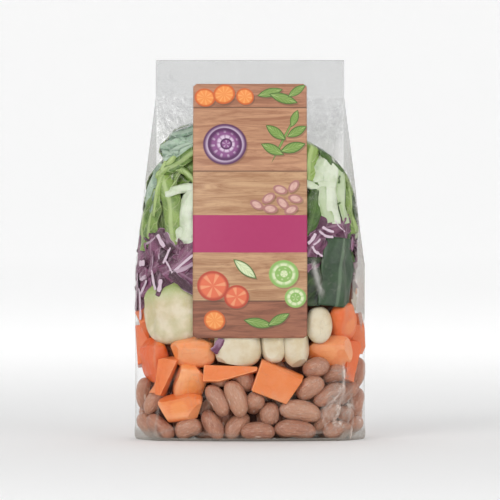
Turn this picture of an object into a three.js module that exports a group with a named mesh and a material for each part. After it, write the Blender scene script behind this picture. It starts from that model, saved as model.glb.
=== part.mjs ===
// A clear film bag of cut soup vegetables and beans, standing on its block bottom.
// Millimetres, +Z up. The labelled front faces -Y, and the origin is on the ground under the
// middle of the bag.
//
// The filled bag is one closed solid: the film is drawn tight over what it holds, so the food
// shows as low swellings in the panels. The label is a thin solid of its own on the front.

import * as THREE from 'three';
import { LoftGeometry } from 'three/addons/geometries/LoftGeometry.js';

// ---- driving dimensions ----

const BAG_HEIGHT = 227;
const HEADER_BOTTOM = 205; // the flat welded header runs from here up to the top
const HEADER_HALF_THICKNESS = 0.9;
const HEADER_EDGE_HALF_THICKNESS = 0.6;
const HEADER_EDGE_ROUND = 0.3; // the flat header's upright edges stand out by this much
const PANEL_HALF_WIDTH = 56.2; // front and back panels, crease to crease, as in the flat header
const GUSSET_REACH = 13.4; // how far each side gusset swells out past the creases
const GUSSET_FULL_BELOW = 104; // the sides flare from the header down to this height
const GUSSET_REACH_AT_BASE = 12.2;
const GUSSET_ROUNDNESS = 1.6; // exponent of the gusset's section, 2 is a parabola
const GUSSET_LENGTH = 56; // round the gusset's section from crease to crease, where it is widest
const GUSSET_SWELL_SHARE = 0.35; // the taut gussets give way less than the panels
const BASE_EDGE = 6; // height of the rounded edge round the flat base

// Half the bag's depth at each height: in the middle of a panel, and at the corner creases.
const DEPTH_STATIONS = [
  { height: 0, middle: 30, crease: 23.5 },
  { height: BASE_EDGE, middle: 33, crease: 25 },
  { height: 30, middle: 34.5, crease: 24.5 },
  { height: 60, middle: 34.5, crease: 24 },
  { height: 90, middle: 33, crease: 23 },
  { height: 120, middle: 29, crease: 20 },
  { height: 150, middle: 23, crease: 15 },
  { height: 175, middle: 15, crease: 9.5 },
  { height: 190, middle: 8, crease: 5 },
  { height: HEADER_BOTTOM, middle: HEADER_HALF_THICKNESS, crease: HEADER_EDGE_HALF_THICKNESS },
];

// The three layers of food, from the bottom up: how far apart the pieces press the film and how
// far they push it out.
const FOOD_LAYERS = [
  { name: 'beans', from: 4, to: 42, pitch: 15, swell: 1.2 },
  { name: 'root vegetable chunks', from: 42, to: 98, pitch: 26, swell: 1.8 },
  { name: 'cabbage and leaves', from: 98, to: 176, pitch: 40, swell: 1.5 },
];
const FOOD_SEED = 7;
const LAYER_FADE = 6; // the swellings of a layer die out over this height at its edges
const CREASE_FADE = 9; // and over this width towards the corner creases

const LABEL_HALF_WIDTH = 34;
const LABEL_BOTTOM = 61.5;
const LABEL_TOP = 212.7;
const LABEL_CORNER_RADIUS = 2;
const LABEL_THICKNESS = 0.5;
const LABEL_GAP = 0.3; // clear space between the film and the label's back
const LABEL_MARGIN = 5; // the film is smooth under the label and this far round it

// ---- mesh density ----

const PANEL_STEPS = 28;
const GUSSET_STEPS = 11;
const RING_SPACING = 4.6;
const EDGE_RINGS = [0, 0.5, 1.7, 3.5, BASE_EDGE]; // heights of the rings round the base edge
const LABEL_COLUMNS = 12;
const LABEL_ROWS = 24;
const CORNER_STEPS = 3;

// ---- the outer form of the filled bag ----

function smoothstep(low, high, value) {
  const t = Math.min(1, Math.max(0, (value - low) / (high - low)));
  return t * t * (3 - 2 * t);
}

// A smooth curve through the stations: cubic pieces whose slopes are the neighbours' mean.
function alongStations(key, height) {
  const last = DEPTH_STATIONS.length - 1;
  if (height >= DEPTH_STATIONS[last].height) return DEPTH_STATIONS[last][key];
  let i = 0;
  while (DEPTH_STATIONS[i + 1].height < height) i += 1;
  const slope = (a, b) =>
    (DEPTH_STATIONS[b][key] - DEPTH_STATIONS[a][key]) /
    (DEPTH_STATIONS[b].height - DEPTH_STATIONS[a].height);
  const low = DEPTH_STATIONS[i];
  const high = DEPTH_STATIONS[i + 1];
  const span = high.height - low.height;
  const slopeLow = slope(Math.max(0, i - 1), i + 1);
  const slopeHigh = i + 1 === last ? slope(i, last) : slope(i, i + 2);
  const t = (height - low.height) / span;
  return (
    low[key] * (2 * t ** 3 - 3 * t ** 2 + 1) +
    high[key] * (3 * t ** 2 - 2 * t ** 3) +
    span * slopeLow * (t ** 3 - 2 * t ** 2 + t) +
    span * slopeHigh * (t ** 3 - t ** 2)
  );
}

function gussetReach(height) {
  if (height < BASE_EDGE) {
    const rounded = Math.sqrt(1 - (1 - height / BASE_EDGE) ** 2);
    return GUSSET_REACH_AT_BASE + (GUSSET_REACH - GUSSET_REACH_AT_BASE) * rounded;
  }
  if (height < GUSSET_FULL_BELOW) return GUSSET_REACH;
  const flare = Math.max(0, (HEADER_BOTTOM - height) / (HEADER_BOTTOM - GUSSET_FULL_BELOW));
  return HEADER_EDGE_ROUND + (GUSSET_REACH - HEADER_EDGE_ROUND) * flare;
}

// Half the depth at the middle or at the creases, with the base's edge turned as a quarter round.
function halfDepth(key, height) {
  if (height >= BASE_EDGE) return alongStations(key, height);
  const rounded = Math.sqrt(1 - (1 - height / BASE_EDGE) ** 2);
  const [base, edge] = DEPTH_STATIONS;
  return base[key] + (edge[key] - base[key]) * rounded;
}

// How far the front panel stands forward of the middle plane, without the food's swellings.
function panelDepth(x, height) {
  const crease = halfDepth('crease', height);
  const bulge = halfDepth('middle', height) - crease;
  return crease + bulge * (1 - (x / PANEL_HALF_WIDTH) ** 2);
}

// ---- where the food presses the film ----

// A repeatable random number from 0 to 1 for a whole number.
function random(index) {
  const wave = Math.sin(index * 127.1 + FOOD_SEED * 311.7) * 43758.5453;
  return wave - Math.floor(wave);
}

// The pieces of a layer that press one side, in rows of shifted, uneven spacing. The distance
// round the side and the height are both in millimetres.
function pressingPieces(layer, side, length) {
  const pieces = [];
  const rows = Math.max(1, Math.round((layer.to - layer.from) / (layer.pitch * 0.8)));
  const columns = Math.round(length / layer.pitch);
  for (let row = 0; row < rows; row += 1) {
    for (let column = 0; column < columns; column += 1) {
      const index = ((layer.from * 10 + side) * 20 + row) * 20 + column;
      const shift = row % 2 === 0 ? 0.25 : 0.75;
      const wander = (random(index) - 0.5) * 0.5;
      const lift = (random(index + 0.3) - 0.5) * 0.4;
      pieces.push({
        along: ((column + shift + wander) * length) / columns,
        height: layer.from + ((row + 0.5 + lift) * (layer.to - layer.from)) / rows,
        radius: layer.pitch * (0.5 + 0.18 * random(index + 0.6)),
        swell: layer.swell * (0.6 + 0.4 * random(index + 0.9)),
      });
    }
  }
  return pieces;
}

const PANEL_WIDTH = 2 * PANEL_HALF_WIDTH;
const SIDE_LENGTHS = [PANEL_WIDTH, GUSSET_LENGTH, PANEL_WIDTH, GUSSET_LENGTH];
const pressing = SIDE_LENGTHS.map((length, side) =>
  FOOD_LAYERS.map((layer) => ({ layer, pieces: pressingPieces(layer, side, length) })));

function swelling(side, along, height) {
  let out = 0;
  for (const { layer, pieces } of pressing[side]) {
    const fade =
      smoothstep(layer.from, layer.from + LAYER_FADE, height) *
      (1 - smoothstep(layer.to - LAYER_FADE, layer.to, height));
    if (fade === 0) continue;
    let top = 0;
    for (const piece of pieces) {
      const apart = Math.hypot(along - piece.along, height - piece.height) / piece.radius;
      if (apart < 1) top = Math.max(top, piece.swell * (1 - apart * apart));
    }
    out += fade * top;
  }
  const toCrease = Math.min(along, SIDE_LENGTHS[side] - along);
  return out * smoothstep(0, CREASE_FADE, toCrease);
}

// None of it shows under the label, where the film is held flat.
function clearOfLabel(x, height) {
  const beside = smoothstep(LABEL_HALF_WIDTH + 1, LABEL_HALF_WIDTH + LABEL_MARGIN, Math.abs(x));
  const below = 1 - smoothstep(LABEL_BOTTOM - LABEL_MARGIN, LABEL_BOTTOM - 1, height);
  return Math.max(beside, below);
}

// ---- the bag: a loft of closed rings from the flat base to the top of the header ----

// One ring, counterclockwise from above: front panel, right gusset, back panel, left gusset.
function ringAt(height) {
  const ring = [];
  const reach = gussetReach(height);
  const crease = halfDepth('crease', height);
  const panel = (side, forward) => {
    for (let i = 0; i < PANEL_STEPS; i += 1) {
      const across = (2 * i) / PANEL_STEPS - 1;
      const x = -forward * across * PANEL_HALF_WIDTH;
      const along = (across + 1) * PANEL_HALF_WIDTH;
      const smooth = side === 0 ? clearOfLabel(x, height) : 1;
      const y = panelDepth(x, height) + swelling(side, along, height) * smooth;
      ring.push(new THREE.Vector3(x, forward * y, height));
    }
  };
  const gusset = (side, outward) => {
    for (let i = 0; i < GUSSET_STEPS; i += 1) {
      const across = (2 * i) / GUSSET_STEPS - 1;
      const along = ((across + 1) / 2) * SIDE_LENGTHS[side];
      const swell = swelling(side, along, height) * GUSSET_SWELL_SHARE;
      const profile = 1 - Math.abs(across) ** GUSSET_ROUNDNESS;
      const x = PANEL_HALF_WIDTH + (reach + swell) * profile;
      ring.push(new THREE.Vector3(outward * x, outward * across * crease, height));
    }
  };
  panel(0, -1);
  gusset(1, 1);
  panel(2, 1);
  gusset(3, -1);
  return ring;
}

function ringHeights() {
  const heights = [...EDGE_RINGS];
  const body = Math.round((HEADER_BOTTOM - BASE_EDGE) / RING_SPACING);
  for (let i = 1; i <= body; i += 1) {
    heights.push(BASE_EDGE + ((HEADER_BOTTOM - BASE_EDGE) * i) / body);
  }
  heights.push((HEADER_BOTTOM + BAG_HEIGHT) / 2, BAG_HEIGHT);
  return heights;
}

function makeBag() {
  const film = new THREE.MeshStandardMaterial({
    color: '#c3b79a',
    roughness: 0.25,
    metalness: 0,
  });
  const geometry = new LoftGeometry(ringHeights().map(ringAt), { capStart: true, capEnd: true });
  const bag = new THREE.Mesh(geometry, film);
  bag.name = 'bag';
  return bag;
}

// ---- the label: an upright rounded rectangle that bends with the front of the bag ----

// Half the label's width at a height, narrower in the rounded corners.
function labelHalfWidth(height) {
  const fromEnd = Math.min(height - LABEL_BOTTOM, LABEL_TOP - height);
  if (fromEnd >= LABEL_CORNER_RADIUS) return LABEL_HALF_WIDTH;
  const rise = LABEL_CORNER_RADIUS - fromEnd;
  return LABEL_HALF_WIDTH - LABEL_CORNER_RADIUS + Math.sqrt(LABEL_CORNER_RADIUS ** 2 - rise ** 2);
}

function labelHeights() {
  const ends = [];
  for (let i = 0; i < CORNER_STEPS; i += 1) {
    ends.push(LABEL_CORNER_RADIUS * (1 - Math.cos((Math.PI / 2) * (i / CORNER_STEPS))));
  }
  const straight = LABEL_TOP - LABEL_BOTTOM - 2 * LABEL_CORNER_RADIUS;
  const rows = [];
  for (let i = 0; i <= LABEL_ROWS; i += 1) {
    rows.push(LABEL_BOTTOM + LABEL_CORNER_RADIUS + (straight * i) / LABEL_ROWS);
  }
  return [
    ...ends.map((up) => LABEL_BOTTOM + up),
    ...rows,
    ...ends.reverse().map((down) => LABEL_TOP - down),
  ];
}

// A level ring round the label's thickness: along its front, then back along its rear face.
function labelRing(height) {
  const ring = [];
  const halfWidth = labelHalfWidth(height);
  for (const [gap, direction] of [[LABEL_GAP + LABEL_THICKNESS, 1], [LABEL_GAP, -1]]) {
    for (let i = 0; i <= LABEL_COLUMNS; i += 1) {
      const x = direction * halfWidth * ((2 * i) / LABEL_COLUMNS - 1);
      ring.push(new THREE.Vector3(x, -(panelDepth(x, height) + gap), height));
    }
  }
  return ring;
}

function makeLabel() {
  const paper = new THREE.MeshStandardMaterial({
    color: '#a67557',
    roughness: 0.5,
    metalness: 0,
  });
  const rings = labelHeights().map(labelRing);
  const label = new THREE.Mesh(new LoftGeometry(rings, { capStart: true, capEnd: true }), paper);
  label.name = 'label';
  return label;
}

// ---- the whole ----

const filledBag = new THREE.Group();
filledBag.add(makeBag(), makeLabel());

export default filledBag;
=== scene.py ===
import math

import bmesh
import bpy
import numpy as np
from mathutils import Matrix, Vector
from mathutils.bvhtree import BVHTree


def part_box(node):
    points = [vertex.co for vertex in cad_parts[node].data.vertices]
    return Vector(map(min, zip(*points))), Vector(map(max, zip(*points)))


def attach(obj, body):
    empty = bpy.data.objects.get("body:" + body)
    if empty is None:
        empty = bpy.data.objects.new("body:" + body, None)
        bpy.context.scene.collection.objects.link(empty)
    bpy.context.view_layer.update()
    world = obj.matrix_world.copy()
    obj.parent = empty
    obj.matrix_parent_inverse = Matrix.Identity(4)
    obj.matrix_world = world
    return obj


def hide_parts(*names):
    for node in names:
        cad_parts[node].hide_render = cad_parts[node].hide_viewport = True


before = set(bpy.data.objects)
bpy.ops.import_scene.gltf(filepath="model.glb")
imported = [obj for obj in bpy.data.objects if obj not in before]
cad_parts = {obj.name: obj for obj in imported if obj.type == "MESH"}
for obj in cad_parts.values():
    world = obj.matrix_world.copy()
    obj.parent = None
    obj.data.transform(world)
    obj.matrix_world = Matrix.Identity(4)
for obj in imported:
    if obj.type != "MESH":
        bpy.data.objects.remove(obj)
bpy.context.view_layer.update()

# ---- The filled form --------------------------------------------------------------------------
# The bag is a tube of clear film with a gusset folded in each side, welded flat at the top and
# squared off at the bottom. Filled, it keeps four upright creases, and the gussets belly out.
# Sizes are millimetres. A place on the film is its distance round the bag from the middle of the
# front, counted to the right, and its height.
MM = 0.001
BAG_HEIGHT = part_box("bag")[1].z / MM
HEADER_BOTTOM = 205.0
PANEL_HALF_WIDTH = 56.2
GUSSET_LENGTH = 56.0
GUSSET_REACH = 13.4
GUSSET_REACH_AT_BASE = 12.2
GUSSET_FULL_BELOW = 104.0
GUSSET_ROUNDNESS = 1.6
HEADER_EDGE_ROUND = 0.3
BASE_EDGE = 6.0
CORNER_ROOM, CORNER_HEIGHT = 6.5, 11.0
SKYLINE_LEFT = np.array((
    (0, 80), (116, 80), (130, 69), (143, 66), (150, 63), (157, 59.5), (163, 55), (168, 50.5),
    (172, 53.5), (176, 52.5), (180, 48.5), (185, 44.5), (188, 38), (190, 26), (192, 0)), float)
SKYLINE_RIGHT = np.array((
    (0, 80), (66, 80), (78, 64), (100, 63), (134, 64), (148, 61), (158, 57), (166, 51),
    (173, 43), (179, 32), (183, 20), (186, 0)), float)
SKYLINE_RAGGED = 1.1
INNER_SLAB = PANEL_HALF_WIDTH - 20
ROUND_THE_BAG = 2 * (2 * PANEL_HALF_WIDTH + GUSSET_LENGTH)
STATION_HEIGHTS = (0, BASE_EDGE, 30, 60, 90, 120, 150, 175, 190, HEADER_BOTTOM)
HALF_DEPTH_MIDDLE = (30, 33, 34.5, 34.5, 33, 29, 23, 15, 8, 0.9)
HALF_DEPTH_CREASE = (23.5, 25, 24.5, 24, 23, 20, 15, 9.5, 5, 0.6)


def smoothstep(low, high, value):
    t = np.clip((value - low) / (high - low), 0, 1)
    return t * t * (3 - 2 * t)


def round_from_base(height):
    """The share of a quarter round that is passed at a height over the base."""
    return np.sqrt(1 - (1 - np.clip(height / BASE_EDGE, 0, 1)) ** 2)


def along_stations(depths, height):
    """A smooth curve through the stations, with a quarter round at the base's edge."""
    heights, depths = np.array(STATION_HEIGHTS, float), np.array(depths, float)
    slopes = np.diff(depths) / np.diff(heights)
    ends = (depths[2:] - depths[:-2]) / (heights[2:] - heights[:-2])
    tangents = np.concatenate([[slopes[0]], ends, [slopes[-1]]])
    height = np.clip(height, 0, HEADER_BOTTOM)
    i = np.clip(np.searchsorted(heights, height, side="right") - 1, 0, len(slopes) - 1)
    span = heights[i + 1] - heights[i]
    t = (height - heights[i]) / span
    smooth = (depths[i] * (2 * t**3 - 3 * t**2 + 1) + depths[i + 1] * (3 * t**2 - 2 * t**3)
              + span * tangents[i] * (t**3 - 2 * t**2 + t) + span * tangents[i + 1] * (t**3 - t**2))
    low = depths[0] + (depths[1] - depths[0]) * round_from_base(height)
    return np.where(height < BASE_EDGE, low, smooth)


def gusset_reach(height):
    low = GUSSET_REACH_AT_BASE + (GUSSET_REACH - GUSSET_REACH_AT_BASE) * round_from_base(height)
    flare = np.clip((HEADER_BOTTOM - height) / (HEADER_BOTTOM - GUSSET_FULL_BELOW), 0, 1)
    return np.minimum(low, HEADER_EDGE_ROUND + (GUSSET_REACH - HEADER_EDGE_ROUND) * flare)


def film_point(around, height):
    """The film's own place, before the food presses it, for arrays of places on the film."""
    around, height = np.broadcast_arrays(np.asarray(around, float), np.asarray(height, float))
    a, g = PANEL_HALF_WIDTH, GUSSET_LENGTH
    w = np.mod(around + a, ROUND_THE_BAG) - a
    middle = along_stations(HALF_DEPTH_MIDDLE, height)
    crease = along_stations(HALF_DEPTH_CREASE, height)
    reach = gusset_reach(height)
    behind = w >= a + g
    x = np.where(behind, w - (2 * a + g), w)
    panel = crease + (middle - crease) * (1 - np.clip(x / a, -1, 1) ** 2)
    t = np.clip(2 * (np.abs(x) - a) / g - 1, -1, 1)
    out = a + reach * (1 - np.abs(t) ** GUSSET_ROUNDNESS)
    on_gusset = x > a
    px = np.where(on_gusset, out, x)
    py = np.where(on_gusset, t * crease, -panel)
    side = np.where(behind, -1, 1)
    return np.stack([px * side, py * side, height], -1)


def inward(points):
    """Level directions from the film towards the upright slab in the middle of the food."""
    core = points * (1, 0, 1)
    core[..., 0] = np.clip(core[..., 0], -INNER_SLAB, INNER_SLAB)
    away = core - points
    return away / np.maximum(np.linalg.norm(away, axis=-1, keepdims=True), 1e-6)


def under_film(around, height, depth):
    """Points the given depth inside the film."""
    points = film_point(around, height)
    return points + inward(points) * np.asarray(depth, float)[..., None]


def keep_inside(points, margin):
    """Moves points that stick out of the film back in by the margin, as the film would. The food
    doesn't fill the bag's bottom corners, and heaps up to a round skyline under the header."""
    x, y, z = np.moveaxis(points, -1, 0)
    z = np.clip(z, margin, HEADER_BOTTOM)
    middle = along_stations(HALF_DEPTH_MIDDLE, z)
    crease = along_stations(HALF_DEPTH_CREASE, z)
    room = crease + (middle - crease) * (1 - np.clip(x / PANEL_HALF_WIDTH, -1, 1) ** 2)
    room = np.maximum(room - margin, 0.3)
    y = np.clip(y, -room, room)
    share = np.clip(np.abs(y) / np.maximum(crease, 0.1), 0, 1) ** GUSSET_ROUNDNESS
    reach = PANEL_HALF_WIDTH + gusset_reach(z) * (1 - share) - margin
    reach -= CORNER_ROOM * (1 - np.clip(z / CORNER_HEIGHT, 0, 1)) ** 2
    ragged = SKYLINE_RAGGED * np.sin(0.9 * y + 0.7 * z)
    left, right = (np.minimum(reach, np.interp(z, *skyline.T) + ragged)
                   for skyline in (SKYLINE_LEFT, SKYLINE_RIGHT))
    return np.stack([np.clip(x, -left, right), y, z], -1)


def new_mesh(name, points, edges, faces, attributes):
    """A mesh in metres from points in millimetres, with its float or vector attributes."""
    mesh = bpy.data.meshes.new(name)
    mesh.from_pydata((np.asarray(points) * MM).tolist(), list(edges), faces)
    for label, values in dict(attributes).items():
        values = np.asarray(values, float)
        kind, field = ("FLOAT", "value") if values.ndim == 1 else ("FLOAT_VECTOR", "vector")
        mesh.attributes.new(label, kind, "POINT").data.foreach_set(field, values.ravel())
    return mesh


def link_new(name, data):
    """A new object for a mesh, a light or a camera, linked into the scene."""
    made = bpy.data.objects.new(name, data)
    bpy.context.scene.collection.objects.link(made)
    return made


def new_piece(name, points, faces, *materials, attributes=()):
    mesh = new_mesh(name, points, (), faces, attributes)
    mesh.shade_smooth()
    for material in materials:
        mesh.materials.append(material)
    return link_new(name, mesh)


def make_real(piece, kind, inputs=(), **settings):
    """Makes a modifier's result the piece's own plain mesh and removes the modifier."""
    modifier = piece.modifiers.new(kind, kind)
    for key, value in settings.items():
        setattr(modifier, key, value)
    for identifier, value in dict(inputs).items():
        modifier[identifier] = value
    evaluated = piece.evaluated_get(bpy.context.evaluated_depsgraph_get())
    made = bpy.data.meshes.new_from_object(evaluated)
    piece.modifiers.remove(modifier)
    piece.data = made
    made.name = piece.name


# ---- How the loose pieces lie -----------------------------------------------------------------
# Beans and cut roots are tipped in and shaken down, so they touch but don't run into each other.
# Each is four balls held in its shape. Those that show at the front are set where they lie, and
# the others are pushed apart, down and against the film until they fit.
BALLS = 4
PUSH, SINK, SPREAD, HOLD = 0.6, 0.10, 0.2, 0.08
UNDER_SKIN = 0.4


def as_balls(kind, length, width, thickness):
    """The four balls of one piece, along a bean's bend or in the corners of a block."""
    radius = min(width, thickness) / 2
    along = length / 2 - radius * 0.9
    if kind == "bean":
        spots = [(-along, -1.2, 0), (-along / 3, 0.5, 0), (along / 3, 0.5, 0), (along, -1.2, 0)]
    else:
        across = max(width / 2 - radius * 0.9, 0.5)
        spots = [(-along, -across, 0), (along, -across, 0), (-along, across, 0), (along, across, 0)]
    return np.array(spots, float), np.full(BALLS, radius * 0.94)


def lie_against_film(around, height, depth, degrees):
    """Centre and turn of a piece whose broad side faces the film, its length turned degrees up
    from the level line that runs to the right."""
    step = 0.5
    here = under_film(around, height, np.array(depth))
    right = film_point(around + step, height) - film_point(around - step, height)
    right /= np.linalg.norm(right)
    out = -inward(film_point(around, height))
    out -= right * (out @ right)
    out /= np.linalg.norm(out)
    up = np.cross(out, right)
    turn = math.radians(degrees)
    along = right * math.cos(turn) + up * math.sin(turn)
    return here, np.stack([along, np.cross(out, along), out], -1)


def settle(rest, radii, centres, turns, weight, ceiling, rounds):
    """Pushes the pieces apart inside the film and returns their centres and turns. A piece of
    weight 1 moves freely, and a heavier one keeps near the place that it was given."""
    balls = centres[:, None] + np.einsum("bij,bkj->bki", turns, rest)
    start = balls.copy()
    middle = rest.mean(1, keepdims=True)
    owner = np.repeat(np.arange(len(rest)), BALLS)
    same = owner[:, None] == owner[None]
    size = radii.ravel()
    reach = size[:, None] + size[None]
    ease_of = 1 / np.repeat(weight, BALLS)
    give = ease_of[:, None] / (ease_of[:, None] + ease_of[None])
    loose = np.repeat(weight, BALLS) == 1
    for step in range(rounds):
        flat = balls.reshape(-1, 3)
        apart = flat[:, None] - flat[None]
        distance = np.linalg.norm(apart, axis=-1) + 1e-6
        overlap = np.where(same, 0, np.clip(reach - distance, 0, None))
        flat = flat + (apart * (overlap * give / distance)[..., None]).sum(1) * PUSH
        ease = 1 - step / rounds
        flat[loose, 2] -= SINK * ease
        flat[loose] -= inward(flat[loose]) * SPREAD * ease
        flat[:, 2] = np.minimum(flat[:, 2], np.repeat(ceiling, BALLS))
        flat = np.where(loose[:, None], flat, flat + (start.reshape(-1, 3) - flat) * HOLD)
        flat = keep_inside(flat, size)
        moved = flat.reshape(balls.shape)
        centre = moved.mean(1, keepdims=True)
        spread = np.einsum("bki,bkj->bij", moved - centre, rest - middle)
        u, _, v = np.linalg.svd(spread)
        u[:, :, 2] *= np.linalg.det(u @ v)[:, None]
        turns = u @ v
        balls = centre + np.einsum("bij,bkj->bki", turns, rest - middle)
    return balls.mean(1) - np.einsum("bij,bkj->bki", turns, middle)[:, 0], turns


# What shows at the front: kind, place round the bag, height, length, width, thickness, degrees
# turned, depth of its outer face under the film, and its tone from deep to pale.
FRONT_PIECES = [
    ("lump", -34.5, 52.5, 27, 19, 13, 8, 0.8, 0.78),
    ("lump", -67, 51, 28, 21, 13, 80, 1.0, 0.05),
    ("cut", -54.5, 38, 24, 11, 10, 66, 0.8, 0.5),
    ("lump", -35.5, 33.5, 25, 19.5, 13, 84, 1.8, 0.95),
    ("lump", -43, 19.5, 28, 17, 12, 12, 0.5, 0.62),
    ("wedge", -11, 39.5, 32, 9.5, 8, -5, 0.6, 0.66),
    ("block", 15, 35.2, 25, 19.5, 13, -26, 0.6, 0.65),
    ("lump", 52.5, 53, 27, 19, 13, 18, 1.6, 0.55),
    ("block", 71.5, 48, 26, 18, 12, 84, 0.8, 0.1),
    ("lump", 63.5, 67.5, 26, 19, 12, 110, 0.6, 0.15),
    ("round", -55, 71.5, 39, 37, 20, 100, 0.6, 0.95),
    ("round", -7, 56.5, 28, 27, 15, 8, 0.7, 0.6),
    ("round", 13, 58, 25, 14, 14, 88, 0.8, 0.2),
    ("round", 28.5, 56.5, 27, 17, 15, 94, 0.8, 0.5),
    ("oval", 42.3, 68.5, 22.5, 16.5, 11, 74, 0.5, 0.1),
    ("bean", -18.5, 24.5, 21, 11.5, 11, -62, 0.6, 0.5),
    ("bean", -8, 25, 23, 13, 11.5, -60, 0.6, 0.75),
    ("bean", -22, 8.5, 21, 12.5, 11, -52, 0.7, 0.25),
    ("bean", -38, 7.5, 17, 13, 12, 20, 0.7, 0.55),
    ("bean", -57, 8, 21, 12, 11, -28, 1.0, 0.3),
    ("bean", -64, 24, 20, 11, 10.5, 62, 1.0, 0.6),
    ("bean", 30.5, 18.5, 26, 13, 12, -5, 0.6, 0.75),
    ("bean", 26, 7.5, 25.5, 12, 11, -2, 0.7, 0.35),
    ("bean", 11.5, 15, 14, 12.5, 12, 55, 1.6, 0.5),
    ("bean", 4, 6.6, 21, 12, 11, 16, 0.8, 0.3),
    ("bean", 36.5, 32.5, 19, 13, 12, 40, 1.0, 0.55),
    ("bean", 49, 29, 22, 12, 11, 8, 0.8, 0.35),
    ("bean", 41, 43, 17, 13, 12, 70, 1.4, 0.4),
    ("bean", 54, 39.5, 16, 11, 11, 12, 1.4, 0.45),
    ("bean", 48, 13, 24, 13, 11.5, 62, 0.8, 0.65),
    ("bean", 64, 29, 21, 12, 11, 15, 1.2, 0.3),
    ("bean", -7, 7, 20, 11.5, 11, 40, 2.0, 0.5),
    ("cut", 87, 62, 24, 18, 12, 84, 0.8, 0.2),
    ("cut", -86, 57, 24, 18, 12, 84, 0.8, 0.15),
    ("cut", -80, 68, 20, 16, 12, 84, 1.2, 0.25),
    ("bean", 57, 7.5, 21, 12, 11, -18, 0.8, 0.45),
    ("bean", 74, 10, 20, 12, 11, 10, 0.8, 0.5),
    ("bean", 78, 22.5, 21, 12, 11, 80, 0.8, 0.35),
    ("bean", 79, 38, 21, 12, 11, 70, 0.8, 0.4),
    ("bean", -73, 9.5, 20, 12, 11, -12, 0.8, 0.5),
    ("bean", -80, 28, 21, 12, 11, 78, 0.8, 0.45),
]
# What fills the rest, by layer: kinds, how many, lowest and highest middle, and how deep.
LOOSE_LAYERS = [
    (("bean",), 120, 7, 40, 6, 11),
    (("bean",), 100, 7, 40, 15, 21),
    (("bean",), 30, 5, 9, 12, 34),
    (("cut", "potato", "log", "coin"), 62, 46, 96, 7.0, 9.0),
    (("potato", "cut", "cut"), 34, 42, 94, 20, 25),
]
LOOSE_SIZES = {"bean": (21.5, 12.6, 11.8), "potato": (26, 21, 16), "cut": (26, 18, 14),
               "log": (25, 17, 14), "coin": (24, 19, 12)}
TOP_OF_BEANS, TOP_OF_ROOTS = 44.0, 98.0
SET_WEIGHT = 8.0
CLEAR_SHARE = 0.66
FRONT_HALF, FRONT_TOP_OF_ROOTS = 100.0, 62.0

draw = np.random.default_rng(11)
kinds, sizes, centres, turns, weights, tones, taken = [], [], [], [], [], [], []


def lay_down(kind, size, centre, turn, weight, tone):
    """Adds one piece to the pile, unless a loose one would lie well inside what is there."""
    spots, radii = as_balls(kind, *size)
    spots = spots @ turn.T + centre
    if weight == 1 and taken:
        there = np.concatenate([t[0] for t in taken])
        reach = np.concatenate([t[1] for t in taken])
        apart = np.linalg.norm(spots[:, None] - there[None], axis=-1)
        if (apart < (reach[None] + radii[:, None]) * CLEAR_SHARE).any():
            return False
    taken.append((spots, radii))
    kinds.append(kind)
    sizes.append(tuple(size))
    centres.append(centre)
    turns.append(turn)
    weights.append(weight)
    tones.append(tone)
    return True


for kind, around, height, length, width, thickness, degrees, depth, tone in FRONT_PIECES:
    place = lie_against_film(around, height, depth + thickness / 2, degrees)
    lay_down(kind, (length, width, thickness), *place, SET_WEIGHT, tone)
TRIES = 40
for layer_kinds, count, low, high, near, far in LOOSE_LAYERS:
    for i in range(count):
        kind = layer_kinds[i % len(layer_kinds)]
        size = np.array(LOOSE_SIZES[kind]) * draw.uniform(0.86, 1.12, 3)
        for _ in range(TRIES):
            around = (i + draw.uniform(-0.5, 1.5)) / count * ROUND_THE_BAG
            across = (around + ROUND_THE_BAG / 2) % ROUND_THE_BAG - ROUND_THE_BAG / 2
            top = min(high, FRONT_TOP_OF_ROOTS) if abs(across) < FRONT_HALF else high
            place = lie_against_film(around, draw.uniform(low, top), draw.uniform(near, far),
                                     draw.uniform(0, 180))
            if lay_down(kind, size, *place, 1, draw.uniform()):
                break
kinds, tones = np.array(kinds), np.array(tones)
shaped = [as_balls(kind, *size) for kind, size in zip(kinds, sizes)]
ceiling = np.where(kinds == "bean", TOP_OF_BEANS, TOP_OF_ROOTS)
centres, turns = settle(np.array([s[0] for s in shaped]), np.array([s[1] for s in shaped]),
                        np.array(centres), np.array(turns), np.array(weights, float), ceiling,
                        120)

# ---- Beans ------------------------------------------------------------------------------------
# Soaked pinkish brown beans with a thin tight skin, each of its own tone, with pale veins, specks
# that are partly painted glints, and a pale eye on the hollow side. One bean is bent from a ball, and
# copies are set on the points they settled at.


class Value:
    """One output of a node. Sums and products of it add the nodes that work them out."""

    def __init__(self, nodes, socket):
        self.nodes, self.socket = nodes, socket

    def __add__(self, other):
        return self.nodes.maths("ADD", self, other)

    def __sub__(self, other):
        return self.nodes.maths("SUBTRACT", self, other)

    def __rsub__(self, other):
        return self.nodes.maths("SUBTRACT", other, self)

    def __mul__(self, other):
        return self.nodes.maths("MULTIPLY", self, other)

    def __truediv__(self, other):
        return self.nodes.maths("DIVIDE", self, other)

    def __pow__(self, other):
        return self.nodes.maths("POWER", self, other)

    def __abs__(self):
        return self.nodes.maths("ABSOLUTE", self)

    def length(self):
        return self.nodes.out("ShaderNodeVectorMath", {0: self}, "Value", operation="LENGTH")

    def scaled(self, factor):
        return self.nodes.out("ShaderNodeVectorMath", {0: self, "Scale": factor}, operation="SCALE")

    def ramp(self, low, high, out_low=0.0, out_high=1.0):
        keys = ("Value", "From Min", "From Max", "To Min", "To Max")
        values = (self, low, high, out_low, out_high)
        return self.nodes.out("ShaderNodeMapRange", dict(zip(keys, values)), "Result",
                              interpolation_type="SMOOTHSTEP")

    def mix(self, a, b):
        return self.nodes.out("ShaderNodeMix", {"Factor": self, "A": a, "B": b}, "Result",
                              data_type="RGBA")


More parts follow.
